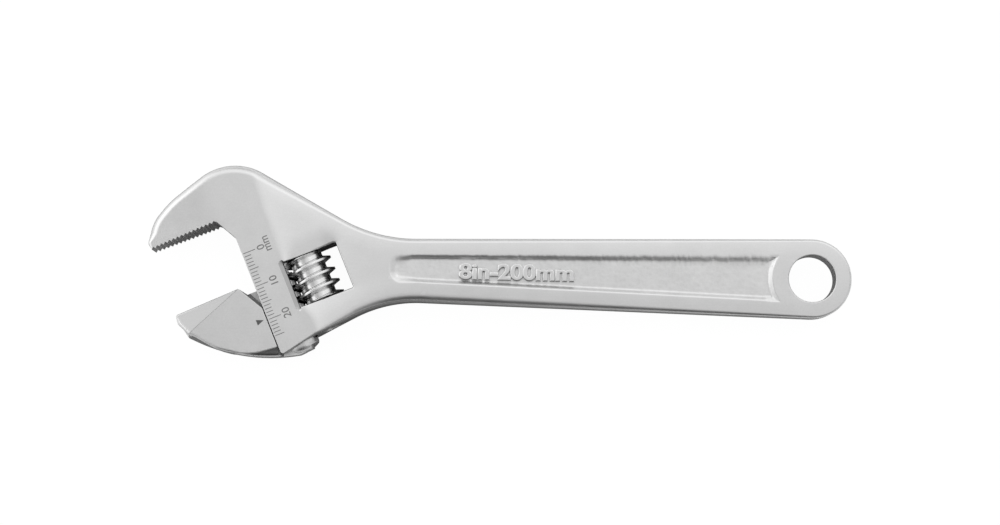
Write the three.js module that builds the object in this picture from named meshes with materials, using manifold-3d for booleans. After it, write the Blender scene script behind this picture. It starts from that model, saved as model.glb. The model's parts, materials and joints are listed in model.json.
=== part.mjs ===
// Adjustable wrench, 200 mm nominal, in millimetres with +Z up.
//
// The wrench lies flat: the handle runs along +X, the jaws open towards -X, and the thickness
// is along Z, with the lower head face at Z = 0. The head is drawn in a frame of its own, turned
// by the jaw angle: u runs from the throat towards the handle, v runs the way the movable jaw
// opens, and the origin is where the throat line meets the fixed jaw's face.

import * as THREE from "three";
import { mergeVertices } from "three/addons/utils/BufferGeometryUtils.js";
import Module from "manifold-3d";

const wasm = await Module();
wasm.setup();

// Driving dimensions.

const clearance = 0.3; // between any two pieces
const jawAngle = THREE.MathUtils.degToRad(22); // head turned against the handle
const shownOpening = 20; // opening at rest

const headThickness = 14;
const headFlatWidth = 10; // ground flat, measured from the throat towards the handle
const jawTipThickness = 8.4;
const taperStart = 2; // throat to where the fixed jaw starts to thin
const neckThickness = 9.7;
const neckShoulder = 3; // window to where the neck has its own thickness
const neckRun = 17; // from there to the handle's thickness
const handleThickness = 8;
const handleEndThickness = 7;

const handleReach = 166; // throat corner to hanging hole, along the handle
const handleDrop = 17; // hanging hole below the throat corner
const handleEndRadius = 11.3;
const hangingHoleRadius = 6.7;
const handleTopSlope = THREE.MathUtils.degToRad(0.1); // both edges fall towards the end
const handleBottomSlope = THREE.MathUtils.degToRad(2.4);
const handleStart = 53; // throat corner to where the neck has run into the handle
const handleRamp = 6; // length over which the handle's own taper takes over
const panelStart = 45.5; // throat corner to the sunk panel
const panelRim = 4.6;
const panelDepth = 0.9;
const panelCornerRadius = 4.3;

const jawLength = 23.5; // fixed jaw's face, tip to throat
const reliefWidth = 3.3; // cut-back between the face and the throat
const reliefDepth = 6.2;
const throatRadius = 1;
const toothPitch = 1.25;
const toothDepth = 0.6;
const crownHeight = 16.9;
const crownShift = 7.3;
const crownRadius = 16;
const noseHeight = 9.7;
const noseSetBack = 4.7;
const noseRadius = 25;
const beakHeight = 2;
const beakReach = 0.5; // past the first tooth
const beakRadius = 1.2;
const sideLength = 41.9; // throat side of the head
const sideStep = 1.9; // the lower side is this much shorter past the rail
const sideRadius = 6;
const neckRadiusAbove = 43;
const neckRadiusBelow = 38;
const neckAngleAbove = THREE.MathUtils.degToRad(30);
const neckAngleBelow = THREE.MathUtils.degToRad(26);

const railRadius = 4.4;
const railWall = 2.1; // throat to the rail
const railLength = 23;
const railChamferWidth = 1.6;
const railChamferLength = 1.8;
const webThickness = 5;
const webTop = 2; // below the movable jaw's face
const webOverlap = 6; // how far the web runs into the cheek
const cheekSetBack = 4.55;
const cheekCut = 7.6;
const cheekCutRadius = 0.6;
const cheekFoot = 3.6; // cheek's lower end above the belly's lowest point
const cheekLowPoint = [-9, 6]; // from the throat, and above the belly's lowest point
const cheekLowRadius = 14;
const creaseSetBack = 1.8; // crease's lower end, from the tip
const creaseDepth = 6.4;
const bellyDepth = 23.4; // movable jaw, face to lowest point
const bellySetBack = 2; // both ends of the belly's curve, from the tip and from the rail's axis
const bellyStart = 8.8;
const bellyRadius = 51;
const noseCorner = [0.8, 0, 0.5]; // past the fixed jaw's tip, below the face, corner radius
const noseLowCorner = [1.2, 3, 1.5];

const wormRadius = 6.8;
const wormRootRadius = 4.8;
const wormPitch = 3.5;
const wormLength = 13.2;
const wormChamfer = 0.5;
const wormCrestWidth = 1;
const wormFlankAngle = THREE.MathUtils.degToRad(15);
const wormStart = 17.95; // face of the fixed jaw to the worm's upper end
const crestOffset = 2.35; // worm's upper end to a crest on its handle side
const thumbRoom = 2.9; // window past the worm, on the handle side
const windowRadius = 0.9;
const pinRadius = 2;
const pinSeatDepth = 5.2;
const pinPlugRadius = 2.6;
const pinPlugLength = 5;
const pinPlugSetIn = 0.6; // plug's face inside the lower side
const pinSlotWidth = 0.8;
const pinSlotDepth = 1;
const springWireRadius = 0.35;
const springLength = 4.4;
const springTurns = 4;

// Derived sizes.

const midHeight = headThickness / 2;
const railAxis = railWall + railRadius;
const railTip = railAxis + railRadius;
const threadDepth = wormRadius - wormRootRadius;
const wormAxis = railTip + clearance + wormRootRadius;
const rackRoot = wormAxis - wormRadius - clearance;
const wormEnd = wormStart + wormLength;
const leadAngle = Math.atan(wormPitch / (2 * Math.PI * wormRadius));
const axisGap = wormAxis - railAxis;
const windowTop = wormStart - clearance;
const windowBottom = wormEnd + clearance;
const windowRight = wormAxis + wormRadius + thumbRoom;
const lowerSide = sideLength - sideStep;
const boreRadius = railRadius + clearance;
const wormRoom = wormRadius + clearance;
// The window's left side is where the rounds of the rail's bore and of the worm's room cross.
const windowLeft = railAxis + (axisGap ** 2 + boreRadius ** 2 - wormRoom ** 2) / (2 * axisGap);
const pinHoleRadius = pinRadius + clearance;
const springRadius = pinRadius + clearance + springWireRadius;
const springPocketRadius = springRadius + springWireRadius + clearance;
const farAway = 400; // past every outline, for cutting tools
const overcut = 5; // how far a hole runs out past its face

// Points in the head's frame, as (u, -v), and the same points in the handle's frame.

const headPoint = (u, v) => new THREE.Vector2(u, -v);

function onHandle(u, v) {
  return headPoint(u, v).rotateAround(new THREE.Vector2(), jawAngle);
}

// Outline tools.

function arcPoints(centre, radius, from, to, steps) {
  const points = [];
  for (let i = 0; i <= steps; i++) {
    const angle = from + ((to - from) * i) / steps;
    points.push(new THREE.Vector2(Math.cos(angle), Math.sin(angle)).multiplyScalar(radius).add(centre));
  }
  return points;
}

function lineMeet(pointA, angleA, pointB, angleB) {
  const along = new THREE.Vector2(Math.cos(angleA), Math.sin(angleA));
  const across = new THREE.Vector2(-Math.sin(angleB), Math.cos(angleB));
  const distance = pointB.clone().sub(pointA).dot(across) / along.dot(across);
  return along.multiplyScalar(distance).add(pointA);
}

function circleShape(centre, radius, steps) {
  return new THREE.Shape(arcPoints(centre, radius, 0, 2 * Math.PI, steps).slice(1));
}

// A closed outline from [point, corner radius] pairs. A radius of 0 keeps the corner sharp.
function roundedShape(corners, stepAngle = 0.16) {
  const points = [];
  corners.forEach(([corner, radius], i) => {
    if (!radius) {
      points.push(corner);
      return;
    }
    const before = corners.at(i - 1)[0].clone().sub(corner);
    const after = corners[(i + 1) % corners.length][0].clone().sub(corner);
    const toBefore = before.clone().normalize();
    const toAfter = after.clone().normalize();
    const halfOpening = Math.acos(toBefore.dot(toAfter)) / 2;
    const room = 0.48 * Math.min(before.length(), after.length()) * Math.tan(halfOpening);
    const used = Math.min(radius, room);
    const middle = toBefore.clone().add(toAfter).normalize();
    const centre = middle.multiplyScalar(used / Math.sin(halfOpening)).add(corner);
    const start = toBefore.multiplyScalar(used / Math.tan(halfOpening)).add(corner).sub(centre);
    const end = toAfter.multiplyScalar(used / Math.tan(halfOpening)).add(corner).sub(centre);
    let turn = end.angle() - start.angle();
    turn -= 2 * Math.PI * Math.round(turn / (2 * Math.PI));
    const steps = Math.max(2, Math.ceil(Math.abs(turn) / stepAngle));
    points.push(...arcPoints(centre, used, start.angle(), start.angle() + turn, steps));
  });
  return new THREE.Shape(points);
}

// Solid tools.

function solidOf(geometry) {
  const bare = new THREE.BufferGeometry();
  bare.setAttribute("position", geometry.getAttribute("position"));
  bare.setIndex(geometry.index);
  const merged = mergeVertices(bare, 1e-4);
  const mesh = new wasm.Mesh({
    numProp: 3,
    vertProperties: new Float32Array(merged.getAttribute("position").array),
    triVerts: new Uint32Array(merged.index.array),
  });
  return new wasm.Manifold(mesh);
}

function geometryOf(solid) {
  const mesh = solid.getMesh();
  const geometry = new THREE.BufferGeometry();
  geometry.setAttribute("position", new THREE.BufferAttribute(new Float32Array(mesh.vertProperties), 3));
  geometry.setIndex(new THREE.BufferAttribute(new Uint32Array(mesh.triVerts), 1));
  geometry.computeVertexNormals();
  return geometry;
}

function plate(shape, bottom, top, place = (geometry) => geometry) {
  const geometry = new THREE.ExtrudeGeometry(shape, { depth: top - bottom, bevelEnabled: false });
  return solidOf(place(geometry.translate(0, 0, bottom)));
}

const middlePlate = (shape, thickness, place) =>
  plate(shape, midHeight - thickness / 2, midHeight + thickness / 2, place);

const throughPlate = (shape, place) => plate(shape, -farAway, farAway, place);

// Moves a geometry from the head's frame to the handle's frame.
const turnToHandle = (geometry) => geometry.rotateZ(jawAngle);

// A slab symmetric about the middle plane, from [distance, half thickness] pairs.
function thicknessSlab(steps, place) {
  const upper = steps.map(([x, half]) => new THREE.Vector2(x, midHeight + half));
  const lower = steps.map(([x, half]) => new THREE.Vector2(x, midHeight - half));
  const shape = new THREE.Shape([...lower, ...upper.reverse()]);
  const geometry = new THREE.ExtrudeGeometry(shape, { depth: 2 * farAway, bevelEnabled: false });
  geometry.translate(0, 0, -farAway).rotateX(Math.PI / 2);
  return solidOf(place ? place(geometry) : geometry);
}

// A round bar along v in the head's frame.
function bar(radius, u, from, to, segments = 32) {
  const geometry = new THREE.CylinderGeometry(radius, radius, to - from, segments);
  return geometry.translate(u, -(from + to) / 2, midHeight);
}

// Everything on the outer side of a plane in the head's frame.
function beyondPlane(point, normal) {
  const block = new THREE.BoxGeometry(farAway, farAway, farAway).translate(0, 0, farAway / 2);
  const turn = new THREE.Quaternion().setFromUnitVectors(new THREE.Vector3(0, 0, 1), normal);
  return solidOf(block.applyQuaternion(turn).translate(point.x, point.y, point.z));
}

// Body: handle, neck, head and fixed jaw in one forging.

const holeCentre = new THREE.Vector2(handleReach, -handleDrop);

function handleEdges(inset) {
  const radius = handleEndRadius - inset;
  const topNormal = new THREE.Vector2(Math.sin(handleTopSlope), Math.cos(handleTopSlope));
  const bottomNormal = new THREE.Vector2(-Math.sin(handleBottomSlope), -Math.cos(handleBottomSlope));
  return {
    top: topNormal.multiplyScalar(radius).add(holeCentre),
    bottom: bottomNormal.multiplyScalar(radius).add(holeCentre),
  };
}

function toothedFace() {
  const corners = [];
  const count = Math.floor((jawLength - reliefWidth) / toothPitch);
  for (let i = 0; i < count; i++) {
    const crest = i * toothPitch - jawLength;
    corners.push([onHandle(crest, 0), 0], [onHandle(crest + toothPitch / 2, -toothDepth), 0]);
  }
  corners.push([onHandle(-reliefWidth, 0), 0]);
  return corners;
}

function bodyShape() {
  const edges = handleEdges(0);
  const crown = onHandle(crownShift, -crownHeight);
  const lowerCorner = onHandle(railTip, lowerSide);
  const neckAbove = lineMeet(crown, -neckAngleAbove, edges.top, -handleTopSlope);
  const neckBelow = lineMeet(lowerCorner, neckAngleBelow, edges.bottom, -handleBottomSlope);
  const endArc = arcPoints(
    holeCentre,
    handleEndRadius,
    -Math.PI / 2 - handleBottomSlope,
    Math.PI / 2 - handleTopSlope,
    28,
  );
  return roundedShape([
    ...toothedFace(),
    [onHandle(0, reliefDepth), throatRadius],
    [onHandle(0, sideLength), throatRadius],
    [lowerCorner, sideRadius],
    [neckBelow, neckRadiusBelow],
    ...endArc.map((point) => [point, 0]),
    [neckAbove, neckRadiusAbove],
    [crown, crownRadius],
    [onHandle(noseSetBack - jawLength, -noseHeight), noseRadius],
    [onHandle(-jawLength - beakReach, -beakHeight), beakRadius],
  ]);
}

function headSlab() {
  const neckPlace = windowRight + neckShoulder;
  return thicknessSlab(
    [
      [-farAway, jawTipThickness / 2],
      [-jawLength, jawTipThickness / 2],
      [-taperStart, headThickness / 2],
      [headFlatWidth, headThickness / 2],
      [neckPlace, neckThickness / 2],
      [neckPlace + neckRun, handleThickness / 2],
      [farAway, handleThickness / 2],
    ],
    turnToHandle,
  );
}

function handleSlab() {
  return thicknessSlab([
    [-farAway, farAway],
    [handleStart - handleRamp, farAway],
    [handleStart, handleThickness / 2],
    [holeCentre.x + handleEndRadius, handleEndThickness / 2],
  ]);
}

function panelFloor() {
  return thicknessSlab([
    [panelStart - panelRim, handleThickness / 2 - panelDepth],
    [handleStart, handleThickness / 2 - panelDepth],
    [holeCentre.x + handleEndRadius, handleEndThickness / 2 - panelDepth],
  ]);
}

function handlePanels() {
  const edges = handleEdges(panelRim);
  const leftEdge = new THREE.Vector2(panelStart, 0);
  const shape = roundedShape([
    [lineMeet(leftEdge, Math.PI / 2, edges.bottom, -handleBottomSlope), panelCornerRadius],
    [edges.bottom, 0],
    [edges.top, 0],
    [lineMeet(leftEdge, Math.PI / 2, edges.top, -handleTopSlope), panelCornerRadius],
  ]);
  const boss = circleShape(holeCentre, handleEndRadius, 36);
  return throughPlate(shape).subtract(throughPlate(boss)).subtract(panelFloor());
}

function wormWindow() {
  const corners = [
    [windowLeft, windowTop],
    [windowRight, windowTop],
    [windowRight, windowBottom],
    [windowLeft, windowBottom],
  ];
  const shape = roundedShape(corners.map(([u, v]) => [headPoint(u, v), windowRadius]).reverse());
  return throughPlate(shape, turnToHandle);
}

function railChannel() {
  const bore = solidOf(turnToHandle(bar(boreRadius, railAxis, -clearance, sideLength + overcut)));
  const slotShape = new THREE.Shape([
    headPoint(-jawLength, sideLength + overcut),
    headPoint(railAxis, sideLength + overcut),
    headPoint(railAxis, webTop - 2 * clearance),
    headPoint(-jawLength, webTop - 2 * clearance),
  ]);
  return bore.add(middlePlate(slotShape, webThickness + 2 * clearance, turnToHandle));
}

function pinHoles() {
  const seat = bar(pinHoleRadius, wormAxis, windowTop - pinSeatDepth - clearance, sideLength, 24);
  const plugStart = lowerSide - pinPlugLength - clearance;
  const plug = bar(pinPlugRadius + clearance, wormAxis, plugStart, sideLength + overcut, 24);
  return solidOf(turnToHandle(seat)).add(solidOf(turnToHandle(plug)));
}

function bodySolid() {
  const holeShape = circleShape(holeCentre, hangingHoleRadius, 32);
  return throughPlate(bodyShape())
    .intersect(headSlab())
    .intersect(handleSlab())
    .subtract(handlePanels())
    .subtract(throughPlate(holeShape))
    .subtract(wormWindow())
    .subtract(railChannel())
    .subtract(pinHoles());
}

// Movable jaw: cheek, nose, web, rail and rack in one forging, drawn closed against v = 0.

const creaseEnd = headPoint(creaseSetBack - jawLength, creaseDepth);
const cheekTop = headPoint(-cheekSetBack, 0);

function bellyArc(steps) {
  const start = headPoint(bellySetBack - jawLength, bellyStart);
  const end = headPoint(railAxis - bellySetBack, bellyDepth);
  const chord = end.clone().sub(start);
  const drop = Math.sqrt(bellyRadius ** 2 - chord.lengthSq() / 4);
  const inward = new THREE.Vector2(-chord.y, chord.x).normalize();
  const centre = start.clone().add(end).multiplyScalar(0.5).add(inward.multiplyScalar(drop));
  const from = start.clone().sub(centre).angle();
  const to = end.clone().sub(centre).angle();
  return arcPoints(centre, bellyRadius, from, to, steps);
}

function jawShapes() {
  const belly = bellyArc(10);
  const cheekSide = -clearance;
  const leftOfThroat = belly.filter((point) => point.x < cheekSide);
  const tip = [noseCorner, noseLowCorner].map(([reach, below, radius]) => [
    headPoint(-jawLength - reach, below),
    radius,
  ]);
  const lowPoint = headPoint(cheekLowPoint[0], bellyDepth - cheekLowPoint[1]);
  const cheekCorners = [
    [headPoint(cheekSide, bellyDepth - cheekFoot), 0],
    [headPoint(cheekSide, cheekCut), cheekCutRadius],
    [cheekTop, 0],
  ];
  return {
    core: roundedShape([...tip, ...leftOfThroat.map((point) => [point, 0]), ...cheekCorners]),
    cheek: roundedShape([...tip, [creaseEnd, 0], [lowPoint, cheekLowRadius], ...cheekCorners]),
    web: new THREE.Shape([
      ...belly.filter((point) => point.x > -cheekSetBack - webOverlap),
      headPoint(railAxis, bellyDepth),
      headPoint(railAxis, webTop),
      headPoint(-cheekSetBack, webTop),
      headPoint(-cheekSetBack - webOverlap, cheekCut),
    ]),
  };
}

// The nose falls away from the crease to the tip's thickness, on both faces.
function noseCuts() {
  const crease = creaseEnd.clone().sub(cheekTop).normalize();
  const tipDistance = Math.abs(headPoint(-jawLength, 0).sub(cheekTop).cross(crease));
  const slope = Math.atan((headThickness - jawTipThickness) / 2 / tipDistance);
  const outward = new THREE.Vector2(crease.y, -crease.x).multiplyScalar(Math.sin(slope));
  const cuts = [1, -1].map((side) =>
    beyondPlane(
      new THREE.Vector3(cheekTop.x, cheekTop.y, midHeight + (side * headThickness) / 2),
      new THREE.Vector3(outward.x, outward.y, side * Math.cos(slope)).normalize(),
    ),
  );
  return cuts[0].add(cuts[1]);
}

// One groove of the rack: a straight bar with the worm thread's section and clearance on its flanks.
function rackGroove(v) {
  const depth = threadDepth + 2 * clearance;
  const rootHalf = wormCrestWidth / 2 + clearance * (1 - Math.tan(wormFlankAngle));
  const mouthHalf = rootHalf + depth * Math.tan(wormFlankAngle);
  const section = new THREE.Shape([
    new THREE.Vector2(0, -rootHalf),
    new THREE.Vector2(depth, -mouthHalf),
    new THREE.Vector2(depth, mouthHalf),
    new THREE.Vector2(0, rootHalf),
  ]);
  const length = 3 * railRadius;
  const groove = new THREE.ExtrudeGeometry(section, { depth: length, bevelEnabled: false });
  groove.translate(0, 0, -length / 2).rotateX(-leadAngle);
  return solidOf(groove.translate(rackRoot, -v, midHeight));
}

// A crest on the worm's handle side, measured from the movable jaw's face. The crests on the
// rack's side are half a pitch further on.
const firstCrest = wormStart + crestOffset - shownOpening;

function jawSolid() {
  const shapes = jawShapes();
  const railProfile = [
    new THREE.Vector2(0, -railLength),
    new THREE.Vector2(railRadius - railChamferWidth, -railLength),
    new THREE.Vector2(railRadius, railChamferLength - railLength),
    new THREE.Vector2(railRadius, -clearance),
    new THREE.Vector2(0, -clearance),
  ];
  const rail = new THREE.LatheGeometry(railProfile, 32).translate(railAxis, 0, midHeight);
  let solid = middlePlate(shapes.cheek, headThickness)
    .subtract(noseCuts())
    .add(middlePlate(shapes.core, jawTipThickness))
    .add(middlePlate(shapes.web, webThickness))
    .add(solidOf(rail));
  const firstGroove = THREE.MathUtils.euclideanModulo(firstCrest + wormPitch / 2, wormPitch);
  for (let v = firstGroove; v < railLength + wormPitch / 2; v += wormPitch) {
    solid = solid.subtract(rackGroove(v));
  }
  return solid;
}

// Worm: a single right-handed thread on a bored core, with a pocket for the spring.

function wormThread() {
  const overrun = 1; // turns past each end, trimmed off by the blank
  const turns = Math.ceil(wormLength / wormPitch) + 2 * overrun;
  const overlap = 0.5; // how far the thread is sunk into the core
  const crestHalf = wormCrestWidth / 2;
  const baseHalf = crestHalf + (threadDepth + overlap) * Math.tan(wormFlankAngle);
  const section = new THREE.Shape([
    new THREE.Vector2(wormRootRadius - overlap, -baseHalf),
    new THREE.Vector2(wormRadius, -crestHalf),
    new THREE.Vector2(wormRadius, crestHalf),
    new THREE.Vector2(wormRootRadius - overlap, baseHalf),
  ]);
  const thread = new THREE.ExtrudeGeometry(section, { depth: turns, steps: turns * 24, bevelEnabled: false });
  const position = thread.getAttribute("position");
  for (let i = 0; i < position.count; i++) {
    const radius = position.getX(i);
    const turn = position.getZ(i);
    const angle = turn * 2 * Math.PI;
    position.setXYZ(
      i,
      radius * Math.cos(angle),
      position.getY(i) - turn * wormPitch,
      radius * Math.sin(angle),
    );
  }
  const start = firstCrest + shownOpening - 2 * wormPitch;
  return solidOf(thread.translate(wormAxis, -start, midHeight));
}

function wormSolid() {
  const blankProfile = [
    new THREE.Vector2(0, -wormEnd),
    new THREE.Vector2(wormRadius - wormChamfer, -wormEnd),
    new THREE.Vector2(wormRadius, wormChamfer - wormEnd),
    new THREE.Vector2(wormRadius, -wormStart - wormChamfer),
    new THREE.Vector2(wormRadius - wormChamfer, -wormStart),
    new THREE.Vector2(0, -wormStart),
  ];
  const blank = new THREE.LatheGeometry(blankProfile, 48).translate(wormAxis, 0, midHeight);
  const core = bar(wormRootRadius, wormAxis, wormStart, wormEnd, 40);
  const bore = bar(pinHoleRadius, wormAxis, wormStart - overcut, wormEnd + overcut, 24);
  const pocketEnd = windowTop + springLength + 2 * clearance;
  const pocket = bar(springPocketRadius, wormAxis, wormStart - overcut, pocketEnd, 28);
  return wormThread()
    .intersect(solidOf(blank))
    .add(solidOf(core))
    .subtract(solidOf(bore))
    .subtract(solidOf(pocket));
}

// Worm pin: a plain shaft with a threaded plug that closes its hole, slotted for a screwdriver.

function pinSolid() {
  const face = lowerSide - pinPlugSetIn;
  const shaft = solidOf(bar(pinRadius, wormAxis, windowTop - pinSeatDepth, face - pinSlotDepth, 24));
  const plug = solidOf(bar(pinPlugRadius, wormAxis, lowerSide - pinPlugLength, face, 24));
  const slot = new THREE.BoxGeometry(pinSlotWidth, 2 * pinSlotDepth, 3 * pinPlugRadius);
  slot.translate(wormAxis, -face, midHeight);
  return shaft.add(plug).subtract(solidOf(slot));
}

// Spring: holds the worm against the lower end of its window.

class CoilCurve extends THREE.Curve {
  getPoint(t, target = new THREE.Vector3()) {
    const angle = t * springTurns * 2 * Math.PI;
    const reach = springLength - 2 * springWireRadius;
    return target.set(springRadius * Math.cos(angle), -t * reach, springRadius * Math.sin(angle));
  }
}

function springGeometry() {
  const section = circleShape(new THREE.Vector2(), springWireRadius, 8);
  const coil = new THREE.ExtrudeGeometry(section, {
    steps: springTurns * 14,
    extrudePath: new CoilCurve(),
    bevelEnabled: false,
  });
  const top = windowTop + clearance + springWireRadius;
  return geometryOf(solidOf(coil.translate(wormAxis, -top, midHeight)));
}

// Materials and assembly.

const metal = (color, roughness) => new THREE.MeshStandardMaterial({ color, roughness, metalness: 1 });
const satinChrome = () => metal(0xc9cacb, 0.38);
const brightChrome = () => metal(0xd6d7d9, 0.2);
const plainSteel = () => metal(0x9a9b9d, 0.32);

function piece(name, geometry, material) {
  const mesh = new THREE.Mesh(geometry, material);
  mesh.name = name;
  return mesh;
}

const body = piece("body", geometryOf(bodySolid()), satinChrome());
const movableJaw = piece("movable_jaw", geometryOf(jawSolid()), satinChrome());
const worm = piece("worm", geometryOf(wormSolid()), brightChrome());
const wormPin = piece("worm_pin", geometryOf(pinSolid()), plainSteel());
const wormSpring = piece("worm_spring", springGeometry(), plainSteel());

movableJaw.position.y = -shownOpening;

const head = new THREE.Group();
head.rotation.z = jawAngle;
head.add(movableJaw, worm, wormPin, wormSpring);

const assembly = new THREE.Group();
assembly.add(body, head);

// The origin is under the middle of the wrench's outline, on the surface that it lies on.
const bounds = new THREE.Box3().setFromObject(assembly, true);
const middle = bounds.getCenter(new THREE.Vector3());
assembly.position.set(-middle.x, -middle.y, -bounds.min.z);

const wrench = new THREE.Group();
wrench.add(assembly);

export default wrench;
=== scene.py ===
import bmesh
import bpy
import json
import math
import numpy as np
from mathutils import Matrix, Vector
from mathutils.geometry import delaunay_2d_cdt


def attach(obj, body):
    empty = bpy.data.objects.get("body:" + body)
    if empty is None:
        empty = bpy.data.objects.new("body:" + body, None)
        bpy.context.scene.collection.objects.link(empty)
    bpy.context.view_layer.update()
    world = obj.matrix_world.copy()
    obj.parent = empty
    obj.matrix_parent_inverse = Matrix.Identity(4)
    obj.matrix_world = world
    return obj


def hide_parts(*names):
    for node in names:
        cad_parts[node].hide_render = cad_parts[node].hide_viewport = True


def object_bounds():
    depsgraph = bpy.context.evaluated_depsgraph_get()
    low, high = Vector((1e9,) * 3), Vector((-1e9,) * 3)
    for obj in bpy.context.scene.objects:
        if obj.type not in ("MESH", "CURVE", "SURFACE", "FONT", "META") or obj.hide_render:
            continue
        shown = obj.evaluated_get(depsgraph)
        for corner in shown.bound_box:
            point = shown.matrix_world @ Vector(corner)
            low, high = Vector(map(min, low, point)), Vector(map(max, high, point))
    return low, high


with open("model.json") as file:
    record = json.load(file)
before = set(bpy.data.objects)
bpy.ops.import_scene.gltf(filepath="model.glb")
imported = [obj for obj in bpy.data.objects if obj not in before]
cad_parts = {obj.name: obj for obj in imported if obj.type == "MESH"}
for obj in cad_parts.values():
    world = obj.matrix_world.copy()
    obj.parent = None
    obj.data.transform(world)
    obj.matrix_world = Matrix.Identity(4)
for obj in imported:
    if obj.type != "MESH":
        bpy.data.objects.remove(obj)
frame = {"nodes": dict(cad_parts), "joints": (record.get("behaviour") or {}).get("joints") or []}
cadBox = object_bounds()
cadLow, cadHigh = Vector(cadBox[0]), Vector(cadBox[1])
print("frame loaded:", len(frame["nodes"]), "nodes")

# Lengths below are in millimetres; pieces are scaled to metres when their mesh is made.
mm = 0.001
slideJoint = next(joint for joint in frame["joints"] if joint["name"] == "jaw_slide")
wormJoint = next(joint for joint in frame["joints"] if joint["name"] == "worm_spin")
openWay = Vector(slideJoint["axis"]).normalized()  # the way the movable jaw opens
acrossWay = Vector((-openWay.y, openWay.x, 0.0))  # from the throat towards the handle
wormMiddle = Vector(wormJoint["pos_m"]) / mm
middleHeight = (cadLow.z + cadHigh.z) / 2 / mm

# Sizes of the head that several pieces share. u runs from the throat towards the handle, v the
# way the jaw opens, both from the corner where the throat line meets the fixed jaw's face.
head = {
    "thickness": 14.0,
    "flatWidth": 9.6,
    "tipThickness": 8.4,
    "jawLength": 23.5,
    "opening": 20.0,
    "wormAxis": 16.0,
    "wormMiddle": 24.55,
    "railAxis": 6.5,
    "railRadius": 4.5,
    "webThickness": 5.0,
    "clearance": 0.3,
}
throat = wormMiddle - acrossWay * head["wormAxis"] - openWay * head["wormMiddle"]
handleTilt = math.atan2(acrossWay.y, acrossWay.x)
headMatrix = Matrix((
    (acrossWay.x, -openWay.x, 0, throat.x),
    (acrossWay.y, -openWay.y, 0, throat.y),
    (0, 0, 1, 0),
    (0, 0, 0, 1),
))
handleMatrix = Matrix.Translation((throat.x, throat.y, 0))


# Outlines. A corner is (x, y, corner radius, edge radius); a loop is an array of x, y, edge radius.

def onHandle(u, v):
    c, s = math.cos(handleTilt), math.sin(handleTilt)
    return u * c + v * s, u * s - v * c


def toHead(points):
    c, s = math.cos(handleTilt), math.sin(handleTilt)
    x, y = points[:, 0], points[:, 1]
    return x * c + y * s, x * s - y * c


def roundedLoop(corners, spacing):
    most = 0.48  # a rounded corner takes at most this share of the shorter side beside it
    rough = []
    count = len(corners)
    for i, (x, y, radius, edge) in enumerate(corners):
        here = Vector((x, y))
        if radius <= 0:
            rough.append((x, y, edge))
            continue
        before = Vector(corners[i - 1][:2]) - here
        after = Vector(corners[(i + 1) % count][:2]) - here
        half = before.angle(after) / 2
        reach = min(radius / math.tan(half), most * min(before.length, after.length))
        used = reach * math.tan(half)
        middle = (before.normalized() + after.normalized()).normalized()
        centre = here + middle * (used / math.sin(half))
        start = here + before.normalized() * reach - centre
        end = here + after.normalized() * reach - centre
        first = math.atan2(start.y, start.x)
        turn = math.remainder(math.atan2(end.y, end.x) - first, 2 * math.pi)
        steps = max(4, math.ceil(abs(turn) * used / spacing), math.ceil(abs(turn) / 0.1))
        for k in range(steps + 1):
            angle = first + turn * k / steps
            rough.append((centre.x + used * math.cos(angle), centre.y + used * math.sin(angle), edge))
    loop = []
    for i, start in enumerate(rough):
        end = rough[(i + 1) % len(rough)]
        gap = math.hypot(end[0] - start[0], end[1] - start[1])
        if gap < 1e-4:
            continue
        steps = max(1, math.ceil(gap / spacing - 0.01))
        for k in range(steps):
            loop.append([a + (b - a) * k / steps for a, b in zip(start, end)])
    return np.array(loop)


def circleLoop(x, y, radius, edge, steps):
    angles = np.linspace(0, 2 * math.pi, steps, endpoint=False)
    ring = [x + radius * np.cos(angles), y + radius * np.sin(angles), np.full(steps, edge)]
    return np.stack(ring, axis=1)


# Points in handfuls, so that tables of points against loops stay small.
def chunks(points):
    return np.array_split(points, max(1, len(points) // 800))


# Distance to a loop, and the loop's own edge value at the nearest place.
def nearLoop(points, loop):
    start = loop[:, :2]
    way = np.roll(start, -1, axis=0) - start
    edgeStart, edgeEnd = loop[:, 2], np.roll(loop[:, 2], -1)
    lengths = (way ** 2).sum(axis=1)
    distances, edges = [], []
    for chunk in chunks(points):
        offset = chunk[:, None, :] - start[None]
        share = np.clip((offset * way).sum(axis=2) / lengths, 0, 1)
        gap = np.linalg.norm(offset - share[..., None] * way, axis=2)
        nearest = gap.argmin(axis=1)
        rows = np.arange(len(chunk))
        distances.append(gap[rows, nearest])
        along = share[rows, nearest]
        edges.append(edgeStart[nearest] * (1 - along) + edgeEnd[nearest] * along)
    return np.concatenate(distances), np.concatenate(edges)


def insideLoop(points, loop):
    x0, y0 = loop[:, 0], loop[:, 1]
    x1, y1 = np.roll(x0, -1), np.roll(y0, -1)
    inside = []
    for chunk in chunks(points):
        x, y = chunk[:, 0][:, None], chunk[:, 1][:, None]
        crosses = (y0 > y) != (y1 > y)
        with np.errstate(divide="ignore", invalid="ignore"):
            reach = x0 + (y - y0) * (x1 - x0) / (y1 - y0)
        inside.append((np.where(crosses, x < reach, False).sum(axis=1) % 2) == 1)
    return np.concatenate(inside)


# Rows of points beside a loop, at shares of each place's own edge radius, or at plain distances.
def besideLoop(loop, offsets, byEdge):
    after = np.roll(loop[:, :2], -1, axis=0) - np.roll(loop[:, :2], 1, axis=0)
    normal = np.stack([-after[:, 1], after[:, 0]], axis=1)
    normal /= np.linalg.norm(normal, axis=1)[:, None]
    rows = []
    for offset in offsets:
        far = offset * loop[:, 2] if byEdge else np.full(len(loop), offset)
        points = loop[:, :2] + normal * far[:, None]
        gap, _ = nearLoop(points, loop)
        rows.append(points[np.abs(gap - np.abs(far)) < 0.02 + 0.03 * np.abs(far)])
    return np.concatenate(rows)


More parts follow.
